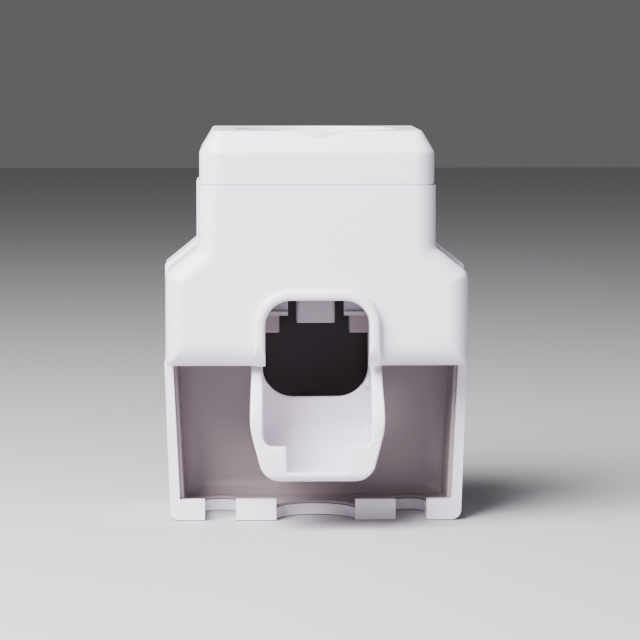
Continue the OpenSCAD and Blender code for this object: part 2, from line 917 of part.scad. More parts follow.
module pump_chamber() {
    color(white)
        difference() {
            union() {
                block([-half_chamber, chamber_back, chamber_z],
                    [half_chamber, chamber_front, chamber_top_z]);
                plan_slab(chamber_top_z - eps, deck_z)
                    deck_points();
                rod_up(0, outlet_depth, chamber_z - spout_h, chamber_z + 1, spout_r);
                for (p = frame_screw_spots)
                    rod_out(p[0], p[1], chamber_front - 1, frame_back, 1.9);
            }
            rod_out(0, pump_z, cavity_back, chamber_front + 1, chamber_bore_r);
            rod_up(0, tube_depth, pump_z, deck_z + 1, inlet_r);
            rod_up(0, outlet_depth, chamber_z - spout_h - 1, pump_z, outlet_r);
            translate([0, -tube_depth, deck_z - 2 * seal_r - 0.04])
                rotate_extrude()
                    translate([seal_ring_r - seal_r - 0.1, 0])
                        square([2 * seal_r + 0.2, 2]);
            both_sides()
                rod_out(pin_x, pump_z, press_back - pin_l - press_travel - 0.6, chamber_front + 1,
                    pin_r + running_gap);
            for (p = frame_screw_spots)
                rod_out(p[0], p[1], chamber_front - frame_thread_l - screw_tip_gap, frame_back + 1,
                    screw_r + screw_gap);
            for (p = post_spots)
                rod_out(p[0], p[1], chamber_back - 1, chamber_back + post_thread_l + screw_tip_gap,
                    screw_r + screw_gap);
            for (p = fitting_screw_spots)
                rod_up(p[0], p[1], deck_z - fitting_screw_l - screw_tip_gap, deck_z + 1,
                    screw_r + screw_gap);
        }
}

module pump_screws() {
    color(steel)
        for (p = post_spots)
            screw_from_back(p[0], p[1], screw_seat, chamber_back + post_thread_l - screw_seat);
}

module fitting_screws() {
    color(steel)
        for (p = fitting_screw_spots)
            translate([p[0], -p[1], deck_z + fitting_flange_t])
                screw(fitting_flange_t + fitting_screw_l);
}

module pump_diaphragm() {
    crown = 3.5;
    color(silicone)
        translate([0, -chamber_front, pump_z])
            rotate([90, 0, 0])
                rotate_extrude()
                    polygon([
                        [0, dome_h], [crown, dome_h], [crown + 1.6, dome_h - 0.6],
                        [dome_r - 0.6, dome_h - 2.4],
                        [dome_r, flange_t], [flange_r, flange_t], [flange_r, 0], [dome_r - dome_t, 0],
                        [dome_r - dome_t, flange_t], [dome_r - dome_t - 0.6, dome_h - 2.7],
                        [crown + 0.8, dome_h - 1.5], [crown, dome_h - dome_t], [0, dome_h - dome_t]
                    ]);
}

module diaphragm_frame() {
    ledge_h = 1;
    ledge_out = 1.2;
    half_notch = frame_notch_w / 2;
    color(white)
        difference() {
            union() {
                front_slab(frame_back, frame_front)
                    translate([-half_frame, frame_z])
                        square([2 * half_frame, frame_top_z - frame_z]);
                both_sides()
                    block([half_notch, frame_back, frame_z],
                        [half_frame, frame_front + ledge_out, frame_z + ledge_h]);
            }
            rod_out(0, pump_z, frame_back - 1, frame_front + 1, dome_r + 0.3);
            block([-half_notch, frame_back - 1, frame_z - 1], [half_notch, frame_front + 1, frame_notch_z]);
            both_sides()
                rod_out(pin_x, pump_z, frame_back - 1, frame_front + 1, pin_r + running_gap);
            for (p = frame_screw_spots)
                rod_out(p[0], p[1], frame_back - 1, frame_front + 1, screw_r + screw_gap);
        }
}

module frame_screws() {
    color(steel)
        for (p = frame_screw_spots)
            translate([p[0], -frame_front, p[1]])
                rotate([90, 0, 0])
                    screw(frame_t + flange_t + frame_thread_l);
}

module press_plate() {
    color(white) {
        front_slab(press_back, press_front) {
            translate([-half_press, pump_z - press_h / 2])
                square([2 * half_press, press_h]);
            translate([0, pump_z])
                circle(r = press_disc_r);
        }
        both_sides()
            rod_out(pin_x, pump_z, press_back - pin_l, press_back + 1, pin_r);
    }
}

// Coil of round wire, wound about the pump's axis between two depths
module return_spring() {
    coil_r = 3.3;
    wire_r = 0.4;
    turns = 6;
    steps = 16;
    sides = 6;
    near = cavity_back + wire_r + 0.1;
    far = dome_tip - dome_t - wire_r - 0.1;
    rings = turns * steps;
    points = [for (i = [0:rings], k = [0:sides - 1])
        let (
            a = 360 * i / steps,
            b = 360 * k / sides,
            r = coil_r + wire_r * cos(b)
        )
        [r * cos(a), -(near + (far - near) * i / rings) - wire_r * sin(b), pump_z + r * sin(a)]];
    faces = concat(
        [[for (k = [0:sides - 1]) k]],
        [for (i = [0:rings - 1], k = [0:sides - 1])
            let (m = (k + 1) % sides)
            [i * sides + k, (i + 1) * sides + k, (i + 1) * sides + m, i * sides + m]],
        [[for (k = [sides - 1:-1:0]) rings * sides + k]]);
    color(steel)
        polyhedron(points = points, faces = faces);
}

module outlet_valve() {
    seat = chamber_z - spout_h;
    color(silicone)
        translate([0, -outlet_depth, 0])
            difference() {
                union() {
                    translate([0, 0, seat - 0.45])
                        cylinder(h = 0.4, r = spout_r - 0.1);
                    translate([0, 0, nozzle_z + 0.5])
                        cylinder(h = seat - 0.2 - nozzle_z - 0.5, r = 1.6);
                }
                translate([0, 0, nozzle_z + 1.2])
                    cylinder(h = seat - nozzle_z, r = 1);
                translate([-1.2, -0.1, nozzle_z])
                    cube([2.4, 0.2, 2]);
            }
}

module nozzle() {
    half = nozzle_w / 2;
    color(white)
        difference() {
            plan_slab(nozzle_z, chamber_z)
                polygon(rounded(
                    box_points(-half, outlet_depth - nozzle_l / 2, half, nozzle_front),
                    [0.8, 0.8, 0.8, 0.8]));
            rod_up(0, outlet_depth, chamber_z - spout_h - 0.5, chamber_z + 1, spout_r + screw_gap);
            rod_up(0, outlet_depth, nozzle_z - 1, chamber_z, 1.9);
        }
}

// Push lever

// Front outline of the lever
module lever_front_points() {
    top_z = hinge_z + boss_r + 1;
    foot = half_scoop - scoop_tuck;
    polygon(rounded([
        [-foot, scoop_z], [foot, scoop_z], [half_scoop, flare_z], [half_arm, flare_top_z],
        [half_arm, top_z], [-half_arm, top_z], [-half_arm, flare_top_z], [-half_scoop, flare_z]
    ], [scoop_corner_r, scoop_corner_r, flare_r, 0, 0, 0, 0, flare_r]));
}

// Side outline of the lever, from its boss down the front to the scoop and back up
module lever_side_points() {
    lip_lean = 1.7;
    front_z = lip_z + 8;
    heel_depth = scoop_back + 8.5;
    heel_z = scoop_z + 9.9;
    back_top_z = back_edge_z + 7;
    neck_z = back_top_z + 7.4;
    arm_top_z = hinge_z - 2 * boss_r;
    polygon(rounded([
        [hinge_depth - boss_r, hinge_z], [arm_front, hinge_z], [arm_front, bend_z],
        [scoop_depth - lip_lean, front_z], [scoop_depth, scoop_z], [heel_depth, scoop_z],
        [scoop_back, heel_z], [scoop_back, back_top_z], [arm_back, neck_z], [arm_back, arm_top_z]
    ], [0, 0, 6, 10, 2, 7, 5, 2, 4, 4]));
}

// Front outline of the scoop's hollow below the top of its lip
module hollow_front_points(hollow_z) {
    foot = half_lever_in - hollow_tuck;
    floor_top_z = scoop_z + scoop_t;
    polygon(rounded([
        [-foot, floor_top_z], [foot, floor_top_z], [half_lever_in, lip_z], [half_lever_in, hollow_z],
        [-half_lever_in, hollow_z], [-half_lever_in, lip_z]
    ], [3, 3, 0, 0, 0, 0]));
}

// Side outline of the scoop's hollow, sloping from its back wall to its floor
module hollow_side_points(hollow_z, lip_back) {
    back = scoop_back + scoop_t;
    floor_top_z = scoop_z + scoop_t;
    polygon(rounded([
        [back, hollow_z], [back, floor_top_z + 8.7], [back + 7.4, floor_top_z],
        [lip_back + 0.7, floor_top_z], [lip_back, lip_z + 0.5], [scoop_depth - 6, hollow_z]
    ], [0, 10, 8, 1, 0, 0]));
}

module push_lever() {
    bar_z = pump_z - 2;
    bar_h = 4;
    top_z = hinge_z + boss_r + 2;
    lip_back = scoop_depth - 1.1 - lip_wall;
    arms_back = scoop_back + 4.5;
    hollow_z = lip_z + 12;
    color(white)
        difference() {
            union() {
                difference() {
                    intersection() {
                        front_slab(arm_back - 20, scoop_depth + 1)
                            lever_front_points();
                        side_slab(-half_scoop - 1, half_scoop + 1)
                            lever_side_points();
                    }
                    front_slab(scoop_back - 1, arms_back + eps)
                        polygon(rounded(
                            box_points(-half_lever_in, back_edge_z, half_lever_in, top_z),
                            [7.5, 7.5, 0, 0]));
                    front_slab(arms_back, scoop_depth + 1)
                        polygon(rounded(
                            box_points(-half_lever_in, lip_z, half_lever_in, top_z),
                            [2.5, 2.5, 0, 0]));
                    intersection() {
                        front_slab(scoop_back, scoop_depth)
                            hollow_front_points(hollow_z);
                        side_slab(-half_lever_in, half_lever_in)
                            hollow_side_points(hollow_z, lip_back);
                    }
                    front_slab(lip_back - 2, scoop_depth + 1)
                        translate([-notch_w / 2, lip_z - notch_h])
                            square([notch_w, notch_h + 2]);
                }
                both_sides()
                    rod_across(hinge_depth, hinge_z, half_lever_in, half_arm + boss_out, boss_r);
                side_slab(-half_arm, half_arm)
                    translate([arm_front - 1, bar_z])
                        square([bar_front - arm_front + 1, bar_h]);
                rod_across(cam_depth, pump_z, -cam_half, cam_half, cam_r);
                side_slab(-cam_half, cam_half)
                    translate([cam_depth, pump_z - cam_r])
                        square([bar_front - cam_depth, 2 * cam_r]);
            }
            rod_across(hinge_depth, hinge_z, -half_scoop - 2, half_scoop + 2, axle_d / 2 + running_gap);
        }
}

module hinge_axle() {
    color(steel)
        difference() {
            rod_across(hinge_depth, hinge_z, -axle_end_x, axle_end_x, axle_d / 2);
            both_sides()
                difference() {
                    rod_across(hinge_depth, hinge_z, clip_x - 0.05, clip_x + clip_t + 0.05, axle_d);
                    rod_across(hinge_depth, hinge_z, clip_x - 1, clip_x + 2, axle_d / 2 - clip_groove);
                }
        }
}

module axle_clips() {
    neck_r = axle_d / 2 - clip_groove;
    color(steel)
        both_sides()
            difference() {
                rod_across(hinge_depth, hinge_z, clip_x, clip_x + clip_t, axle_d / 2 + clip_out);
                rod_across(hinge_depth, hinge_z, clip_x - 1, clip_x + 2, neck_r + 0.02);
                block([clip_x - 1, hinge_depth - neck_r * 0.8, hinge_z - 4],
                    [clip_x + 2, hinge_depth + neck_r * 0.8, hinge_z]);
            }
}

adhesive_pad();
wall_plate();
back_housing();
back_panel();
tray_liner();
liner_screws();
front_cover();
lever_bumpers();
tube_collar();
tube_sleeve();
sleeve_retainer();
inlet_fitting();
inlet_valve();
chamber_seal();
pump_chamber();
pump_screws();
fitting_screws();
pump_diaphragm();
diaphragm_frame();
frame_screws();
return_spring();
press_plate();
outlet_valve();
nozzle();
push_lever();
hinge_axle();
axle_clips();
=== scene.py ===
"""Looks of a wall-mounted toothpaste dispenser with a push lever and a toothbrush tray.

Metres. X runs to the right, -Y comes out of the wall and Z is up. The origin is on the wall, at the
centre of the adhesive pad's back face. Outlines are drawn as (x, z), (x, depth) or (depth, z),
where depth is the distance from the wall.
"""

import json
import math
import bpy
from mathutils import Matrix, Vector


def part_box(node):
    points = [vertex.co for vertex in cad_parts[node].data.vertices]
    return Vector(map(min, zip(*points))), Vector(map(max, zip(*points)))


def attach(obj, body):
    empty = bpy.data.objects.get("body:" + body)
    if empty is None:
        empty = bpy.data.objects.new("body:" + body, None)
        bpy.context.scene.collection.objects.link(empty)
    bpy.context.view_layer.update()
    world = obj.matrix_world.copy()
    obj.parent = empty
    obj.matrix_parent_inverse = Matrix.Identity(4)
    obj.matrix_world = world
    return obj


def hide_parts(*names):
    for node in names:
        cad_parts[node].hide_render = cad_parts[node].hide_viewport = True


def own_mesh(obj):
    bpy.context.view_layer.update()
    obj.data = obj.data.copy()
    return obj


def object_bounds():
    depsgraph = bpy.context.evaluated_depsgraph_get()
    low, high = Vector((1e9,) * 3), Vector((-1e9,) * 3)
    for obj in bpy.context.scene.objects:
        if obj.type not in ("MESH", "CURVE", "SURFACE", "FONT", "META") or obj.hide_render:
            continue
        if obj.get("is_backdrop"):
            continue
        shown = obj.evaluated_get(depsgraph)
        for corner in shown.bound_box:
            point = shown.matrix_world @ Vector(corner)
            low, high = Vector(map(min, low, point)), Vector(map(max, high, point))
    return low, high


bl_info = {
    "name": "Toothpaste Dispenser",
    "version": (1, 0, 0),
    "blender": (4, 5, 0),
    "location": "View3D > Sidebar > Dispenser",
    "description": "Moulded shells, pump pieces, fasteners and finishes of a toothpaste dispenser",
    "category": "Object",
}

from collections import namedtuple

import bmesh
import bpy
from mathutils import Matrix, Vector

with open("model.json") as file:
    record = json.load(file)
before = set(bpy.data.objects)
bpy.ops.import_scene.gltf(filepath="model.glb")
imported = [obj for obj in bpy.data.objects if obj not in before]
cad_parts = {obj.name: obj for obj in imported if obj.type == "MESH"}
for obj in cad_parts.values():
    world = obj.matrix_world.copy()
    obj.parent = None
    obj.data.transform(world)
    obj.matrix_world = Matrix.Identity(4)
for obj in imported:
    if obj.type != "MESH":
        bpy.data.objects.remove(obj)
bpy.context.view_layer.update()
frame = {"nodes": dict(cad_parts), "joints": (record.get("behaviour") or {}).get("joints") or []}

MM = 0.001
CLEAR = 1 * MM  # how far a cutting tool reaches past what it cuts
TOUCHING = 1e-7  # points of a new mesh nearer than this are one
CAD_TOUCHING = 2e-6  # points of a CAD copy nearer than this are one
FLAT_ANGLE = math.radians(0.6)  # faces that differ by less are one flat face
CRISP_ANGLE = math.radians(28)  # edges that turn by more are rounded
SHARP_ANGLE = math.radians(35)  # edges that turn by more are shaded as sharp
ARC_STEPS = 8
BEAD_STEPS = 6
BEVEL_STEPS = 3
TURNED_STEPS = 96
SCREW_STEPS = 32
COIL_STEPS = 40
WIRE_STEPS = 12


# Settings


def length(name, description, default):
    """A size in metres that the sidebar shows."""
    return bpy.props.FloatProperty(
        name=name, description=description, default=default, min=0.0, unit="LENGTH", precision=4
    )


def number(name, description, default, low=0.0, high=1000.0):
    """A plain number that the sidebar shows."""
    return bpy.props.FloatProperty(
        name=name, description=description, default=default, min=low, max=high
    )


def steps(name, description, default):
    """A count of rounding steps that the sidebar shows."""
    return bpy.props.IntProperty(
        name=name, description=description, default=default, min=0, max=40
    )


def place(name, description, default):
    """A point or a size along X, Y and Z that the sidebar shows."""
    return bpy.props.FloatVectorProperty(
        name=name, description=description, default=default, size=3, subtype="XYZ", precision=4
    )


def colour(name, description, default):
    """A base colour that the sidebar shows."""
    return bpy.props.FloatVectorProperty(
        name=name, description=description, default=default, size=3, min=0.0, max=1.0,
        subtype="COLOR",
    )


class CoverSizes(bpy.types.PropertyGroup):
    """Sizes of the front cover."""

    neck_width: length("Neck width", "Width of the cover above its shoulders", 56.6 * MM)
    shoulder_height: length("Shoulder height", "Height of the shoulders' lower end", 12.2 * MM)
    shoulder_angle: bpy.props.FloatProperty(
        name="Shoulder angle", description="Angle of the shoulders from the vertical",
        default=math.radians(51), min=0.1, max=1.4, subtype="ANGLE",
    )
    outer_radius: length("Shoulder outer radius", "Rounding of the shoulders' outer bend", 3 * MM)
    inner_radius: length("Shoulder inner radius", "Rounding of the shoulders' inner bend", 2 * MM)
    least_radius: length("Least radius", "Least rounding of the shoulders' outer bend", 0.4 * MM)
    foot_radius: length("Foot radius", "Rounding of the face's lower corners", 0.8 * MM)
    face_depth: length("Face depth", "Depth of the cover's face from the wall", 46 * MM)
    seam_depth: length("Seam depth", "Depth of the seam with the housing", 18 * MM)
    front_radius: length("Front radius", "Rounding of the face's upright edges", 5 * MM)
    sill_radius: length("Sill radius", "Rounding of the face's lower edge", 6 * MM)
    wall: length("Wall", "Thickness of the shell", 2 * MM)
    arch_width: length("Arch width", "Width of the arch", 24.8 * MM)
    arch_height: length("Arch height", "Height of the arch's top above the origin", 6.1 * MM)
    arch_radius: length("Arch radius", "Rounding of the arch's upper corners", 6 * MM)
    bead_width: length("Bead width", "Width of the bead around the arch", 2.6 * MM)
    bead_edge: length("Bead edge", "Rounding of the bead's two edges", 1.15 * MM)
    shelf_gap: length("Shelf gap", "Room behind the cover's lower edge for the lever", 1.5 * MM)


class CollarSizes(bpy.types.PropertyGroup):
    """Sizes of the tube collar."""

    front_radius: length("Front radius", "Rounding of the upright front edges", 5 * MM)
    back_radius: length("Back radius", "Rounding of the upright back edges", 0.8 * MM)
    least_front: length("Least front radius", "Least rounding of a front edge", 0.8 * MM)
    least_back: length("Least back radius", "Least rounding of a back edge", 0.3 * MM)
    chamfer_height: length("Chamfer height", "Height of the sloped rim", 5 * MM)
    chamfer_inset: length("Chamfer inset", "How far the sloped rim leans in", 3 * MM)
    edge: length("Edge", "Rounding of the sloped rim's bends", 0.7 * MM)
    foot: length("Foot", "Slope along the collar's lower edge", 0.3 * MM)
    mouth: length("Mouth", "Rounding of the socket's mouth", 0.3 * MM)
    wall: length("Wall", "Thickness of the collar", 1.8 * MM)
    bend_rise: number("Bend rise", "Share of the wall by which the inner bend is raised", 0.7)
    tube_axis: length("Tube axis", "Depth of the tube's axis from the wall", 22.5 * MM)
    socket_radius: length("Socket radius", "Radius of the tube socket", 19.4 * MM)
    socket_depth: length("Socket depth", "Height of the straight socket", 4.1 * MM)
    boss_gap: length("Boss gap", "Height of the socket's outer wall above the seat", 0.3 * MM)
    funnel_radius: length("Funnel radius", "Radius at the funnel's lower end", 11.6 * MM)
    funnel_start: length("Funnel start", "Height of the funnel's foot above the seat", 3.25 * MM)
    spigot_height: length("Spigot height", "How far the spigot reaches below the seat", 2.05 * MM)
    spigot_root: length("Spigot root", "How far the spigot reaches into the collar", 2 * MM)
    spigot_gap: length("Spigot gap", "Distance of the spigot from the collar's outside", 2.05 * MM)
    spigot_back: length("Spigot back", "How much further it is from the collar's back", 4 * MM)
    spigot_wall: length("Spigot wall", "Thickness of the spigot", 1.6 * MM)
    seam_height: length("Seam height", "Height of the seam under the collar", 0.25 * MM)
    seam_groove: length("Seam groove", "Depth of the seam under the collar", 0.4 * MM)


class TraySizes(bpy.types.PropertyGroup):
    """Sizes of the liner's soft hollow."""

    hollow: length("Hollow rounding", "Rounding between the liner's back, sides and floor", 5 * MM)
    rim: length("Rim", "Thickness of the liner where it meets the tray's rim", 0.3 * MM)
    taper: length("Taper", "How much the tray narrows on each side towards its floor", 0.9 * MM)
    back: length("Back", "Thickness of the liner's back", 1.4 * MM)
    skin: length("Skin", "How much of the liner's back stays behind the hollow's filling", 0.2 * MM)
    corner: length("Corner", "Rounding of the tray's inner corners", 1.4 * MM)
    seat: length("Seat", "How far the liner's sides press into the tray's walls", 0.3 * MM)
    cover_gap: length("Cover gap", "Gap between the filling and the cover's lower edge", 1.2 * MM)


class MouldSizes(bpy.types.PropertyGroup):
    """Grid and rounding of the pieces with soft moulded edges."""

    grid: length("Grid", "Spacing of the mesh before its edges are rounded", 0.3 * MM)
    lever_rounds: steps("Lever rounding", "Steps of rounding on the lever", 9)
    liner_rounds: steps("Liner rounding", "Steps of rounding on the liner", 4)
    share: number("Share kept", "Share of the faces that are kept", 0.4, 0.05, 1.0)


class EdgeSizes(bpy.types.PropertyGroup):
    """Small roundings along the moulded edges."""

    cover: length("Cover edges", "Rounding of the cover's cut edges", 0.5 * MM)
    collar: length("Collar edges", "Rounding of the collar's cut edges", 0.2 * MM)
    housing: length("Housing edges", "Rounding of the housing's edges", 0.45 * MM)
    inner: length("Inner edges", "Rounding of the pump pieces' edges", 0.25 * MM)


class HardwareSizes(bpy.types.PropertyGroup):
    """Sizes of the screws and of the return spring."""

    head_radius: length("Head radius", "Radius of a screw's head", 1.6 * MM)
    head_height: length("Head height", "Height of a screw's head", 1.1 * MM)
    shank_radius: length("Shank radius", "Radius of a screw's shank", 0.8 * MM)
    recess: place(
        "Recess", "Length, width and height of the tool that cuts each arm of the cross",
        (1.9 * MM, 0.5 * MM, 1.2 * MM),
    )
    wire_radius: length("Wire radius", "Radius of the spring's wire", 0.4 * MM)
    turns: number("Turns", "Turns of the spring", 6.0)


class FinishColours(bpy.types.PropertyGroup):
    """Base colours of the finishes, named as the record's slots."""

    shell: colour("Shell", "Glossy white plastic of the shells", (0.785, 0.735, 0.815))
    # The pump plastic is white; its base colour is darkened to paint the shade inside the cover.
    pump_plastic: colour("Pump", "White plastic of the pump, darkened as painted shade", (0.36, 0.335, 0.37))
    liner: colour("Liner", "Mauve-grey plastic of the tray liner", (0.31, 0.25, 0.27))
    # The wall plate is as dark as the grey wall seen through the window, and darker still as
    # painted shade of the pump bay.
    bracket: colour("Bracket", "Wall plate, as dark as the wall behind it and its painted shade", (0.032, 0.026, 0.03))
    silicone: colour("Silicone", "Milky silicone of the valves and sleeve", (0.72, 0.72, 0.74))
    seal: colour("Seal", "Dark rubber of the seal and stops", (0.03, 0.03, 0.032))
    steel: colour("Steel", "Steel of the screws, spring and axle", (0.55, 0.56, 0.57))
    foam: colour("Foam", "Adhesive foam pad", (0.55, 0.55, 0.57))


class StageSettings(bpy.types.PropertyGroup):
    """Camera, lights and floor."""

    camera_place: place("Camera place", "Where the camera stands", (-0.018, -0.766, 0.068))
    camera_target: place("Camera target", "Point that the camera faces", (0.0006, -0.046, 0.0014))
    lens: number("Lens", "Focal length in millimetres", 171.56, 10.0, 500.0)
    clip_start: length("Clip start", "Nearest distance that the camera sees", 0.01)
    light_target: place("Light target", "Point that both lights face", (0.0, -0.03, 0.0))
    key_place: place("Key place", "Where the main light hangs", (-0.27, -0.34, 0.41))
    key_size: length("Key size", "Side of the square main light", 0.42)
    key_power: number("Key power", "Power of the main light in watts", 19.5)
    key_colour: colour("Key colour", "Colour of the main light", (1.0, 0.975, 1.0))
    fill_place: place("Fill place", "Where the soft fill light hangs", (0.15, -0.7, 0.3))
    fill_size: length("Fill size", "Side of the square fill light", 0.6)
    fill_power: number("Fill power", "Power of the soft fill light in watts", 0.9)
    fill_colour: colour("Fill colour", "Colour of the fill light", (0.98, 0.96, 0.99))
    sky: number("Sky", "Strength of the even light from all around", 0.13)
    sky_colour: colour("Sky colour", "Colour of the even light", (0.96, 0.93, 0.955))
    floor_colour: colour("Floor", "Colour of the floor", (0.46, 0.45, 0.47))
    floor_size: length("Floor size", "Side of the square floor", 4.0)
    floor_gap: length("Floor gap", "Gap between the tray's underside and the floor", 0.2 * MM)


# Outlines


Box = namedtuple("Box", "half near far low high")


def node_box(name):
    """Half width, nearest and furthest depth, lowest and highest point of a CAD node."""
    low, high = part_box(name)
    return Box(high.x, -high.y, -low.y, low.z, high.z)


def arc_at(before, at, after, radius):
    """Points of the arc that rounds the corner at one point of an outline."""
    u = (before - at).normalized()
    v = (after - at).normalized()
    half = math.acos(max(-1.0, min(1.0, u.dot(v)))) / 2
    middle = at + (u + v).normalized() * radius / math.sin(half)
    start = at + u * radius / math.tan(half) - middle
    turn = math.pi - 2 * half
    if u.cross(v) > 0:
        turn = -turn
    points = []
    for i in range(ARC_STEPS + 1):
        angle = turn * i / ARC_STEPS
        c, s = math.cos(angle), math.sin(angle)
        points.append(middle + Vector((start.x * c - start.y * s, start.x * s + start.y * c)))
    return points


def rounded(points, radii):
    """Outline with each corner rounded to its own radius, and a plain point where it is zero."""
    corners = [Vector(point) for point in points]
    result = []
    for i, (at, radius) in enumerate(zip(corners, radii)):
        if radius <= 0:
            result.append(at)
        else:
            result += arc_at(corners[i - 1], at, corners[(i + 1) % len(corners)], radius)
    return result


def quarter(radius, count=ARC_STEPS):
    """How far a quarter round goes in and out at each of its steps."""
    angles = [math.pi / 2 * i / count for i in range(count + 1)]
    return [(radius * (1 - math.cos(a)), radius * math.sin(a)) for a in angles]


def front_ring(outline, depth):
    """An (x, z) outline placed at a depth."""
    return [Vector((p.x, -depth, p.y)) for p in outline]


# Meshes


def new_piece(name, mesh):
    """An object at the origin that holds the mesh."""
    piece = bpy.data.objects.new(name, mesh)
    bpy.context.scene.collection.objects.link(piece)
    return piece


def loft(name, rings):
    """Closed solid through rings of equally many points, with flat ends."""
    shape = bmesh.new()
    loops = [[shape.verts.new(point) for point in ring] for ring in rings]
    count = len(rings[0])
    for first, second in zip(loops, loops[1:]):
        for i in range(count):
            j = (i + 1) % count
            shape.faces.new((first[i], first[j], second[j], second[i]))
    shape.faces.new(loops[0])
    shape.faces.new(loops[-1])
    bmesh.ops.remove_doubles(shape, verts=shape.verts, dist=TOUCHING)
    bmesh.ops.recalc_face_normals(shape, faces=shape.faces)
    mesh = bpy.data.meshes.new(name)
    shape.to_mesh(mesh)
    shape.free()
    return new_piece(name, mesh)


def block(name, low, high):
    """Closed box between two corners given as (x, depth, z)."""
    x0, d0, z0 = low
    x1, d1, z1 = high
    outline = [Vector(p) for p in ((x0, z0), (x1, z0), (x1, z1), (x0, z1))]
    return loft(name, [front_ring(outline, d0), front_ring(outline, d1)])


def turned(name, axis, profile):
    """Closed solid of a (radius, height) profile turned about an upright axis at (x, depth)."""
    angles = [math.tau * i / TURNED_STEPS for i in range(TURNED_STEPS)]
    return loft(name, [
        [Vector((axis[0] + radius * math.cos(a), -axis[1] + radius * math.sin(a), height))
         for a in angles]
        for radius, height in profile
    ])


def settle(piece):
    """Turns what the piece's modifiers make into its own plain mesh."""
    graph = bpy.context.evaluated_depsgraph_get()
    made = bpy.data.meshes.new_from_object(piece.evaluated_get(graph), depsgraph=graph)
    made.name = piece.name
    piece.modifiers.clear()
    piece.data = made
    return piece


def carve(piece, tool, operation="DIFFERENCE"):
    """Cuts the tool away from the piece, adds it or keeps what both share; the tool goes."""
    change = piece.modifiers.new("carve", "BOOLEAN")
    change.object = tool
    change.operation = operation
    change.solver = "EXACT"
    settle(piece)
    bpy.data.objects.remove(tool)
    return piece


def soften(piece, width):
    """Rounds the crisp edges and evens out the shading of the flat faces."""
    edge = piece.modifiers.new("edge", "BEVEL")
    edge.width = width
    edge.segments = BEVEL_STEPS
    edge.limit_method = "ANGLE"
    edge.angle_limit = CRISP_ANGLE
    edge.miter_outer = "MITER_ARC"
    edge.use_clamp_overlap = True
    settle(piece)
    piece.data.shade_smooth()
    even = piece.modifiers.new("even", "WEIGHTED_NORMAL")
    even.keep_sharp = True
    even.weight = 80
    return settle(piece)


def melt(piece, grid, rounds, share):
    """Joins what overlaps in the piece and melts its edges into soft moulded rounds."""
    even = piece.modifiers.new("grid", "REMESH")
    even.mode = "VOXEL"
    even.voxel_size = grid
    soft = piece.modifiers.new("rounds", "SMOOTH")
    soft.factor = 0.5
    soft.iterations = rounds
    thin = piece.modifiers.new("share", "DECIMATE")
    thin.ratio = share
    settle(piece)
    piece.data.shade_smooth()
    return piece


def node_copy(node, ending="copy"):
    """Plain copy of a CAD node's mesh."""
    mesh = frame["nodes"][node].data.copy()
    mesh.materials.clear()
    return new_piece(f"{node}_{ending}", mesh)


def merge(piece, join_flat=False):
    """Merges the loose triangles of a CAD copy, joins its flat faces, and drops its old normals."""
    shape = bmesh.new()
    shape.from_mesh(piece.data)
    bmesh.ops.remove_doubles(shape, verts=shape.verts, dist=CAD_TOUCHING)
    if join_flat:
        bmesh.ops.dissolve_limit(
            shape, angle_limit=FLAT_ANGLE, verts=shape.verts, edges=shape.edges
        )
    shape.to_mesh(piece.data)
    shape.free()
    for name in list(piece.data.attributes.keys()):
        if name.startswith("custom_normal"):
            piece.data.attributes.remove(piece.data.attributes[name])
    return piece


def moulded_copy(node, width):
    """Copy of a CAD node with its flat faces joined and its edges rounded."""
    return soften(merge(node_copy(node, "moulded"), join_flat=True), width)


def shade_round(piece):
    """Shades the piece's round faces smoothly and leaves its sharp edges."""
    piece.data.shade_smooth()
    piece.data.set_sharp_from_angle(angle=SHARP_ANGLE)
    return piece


def join(piece, *others):
    """One mesh with everything that the pieces hold."""
    shape = bmesh.new()
    for source in (piece, *others):
        shape.from_mesh(source.data)
    shape.to_mesh(piece.data)
    shape.free()
    for other in others:
        bpy.data.objects.remove(other)
    return piece


def points_mesh(name, points):
    """Piece whose mesh is loose points."""
    mesh = bpy.data.meshes.new(name)
    mesh.from_pydata(points, [], [])
    return new_piece(name, mesh)


# Nodes


def feed(tree, socket, value):
    """Links a value or an output to a node's input, or sets that input to a constant."""
    source = value.socket if isinstance(value, Value) else value
    if isinstance(source, bpy.types.NodeSocket):
        tree.links.new(source, socket)
    else:
        socket.default_value = source


def add_node(tree, kind, settings, inputs):
    """Adds a node: its settings first, then the values or links of its inputs."""
    made = tree.nodes.new(kind)
    for name, value in (settings or {}).items():
        setattr(made, name, value)
    for name, value in (inputs or {}).items():
        for item in value if isinstance(value, list) else [value]:
            feed(tree, made.inputs[name], item)
    return made


# Materials


class Value:
    """A number or colour that varies over a surface; arithmetic on it adds nodes."""

    def __init__(self, finish, socket):
        self.finish = finish
        self.socket = socket

    def math(self, operation, *values):
        """Adds a Math node."""
        return self.finish.node(
            "ShaderNodeMath", {"operation": operation}, dict(enumerate(values)), "Value"
        )

    def __add__(self, other):
        return self.math("ADD", self, other)

    def __radd__(self, other):
        return self.math("ADD", other, self)

    def __sub__(self, other):
        return self.math("SUBTRACT", self, other)

    def __rsub__(self, other):
        return self.math("SUBTRACT", other, self)

    def __mul__(self, other):
        return self.math("MULTIPLY", self, other)

    def __rmul__(self, other):
        return self.math("MULTIPLY", other, self)


MIX_FACTOR, MIX_FIRST, MIX_SECOND, MIX_RESULT = 0, 6, 7, 2  # a Mix node's sockets for colours
NOISE_LOW = 0.3
NOISE_GAIN = 2.2  # spreads the noise to nearly the whole range from 0 to 1
CLOUD_SHARE = 0.4  # how much slow clouds add to a fine pattern
DUST_RADIUS = 0.06  # of a speck, as a share of its cell
DUST_TINT = 0.05  # how much a speck changes the colour


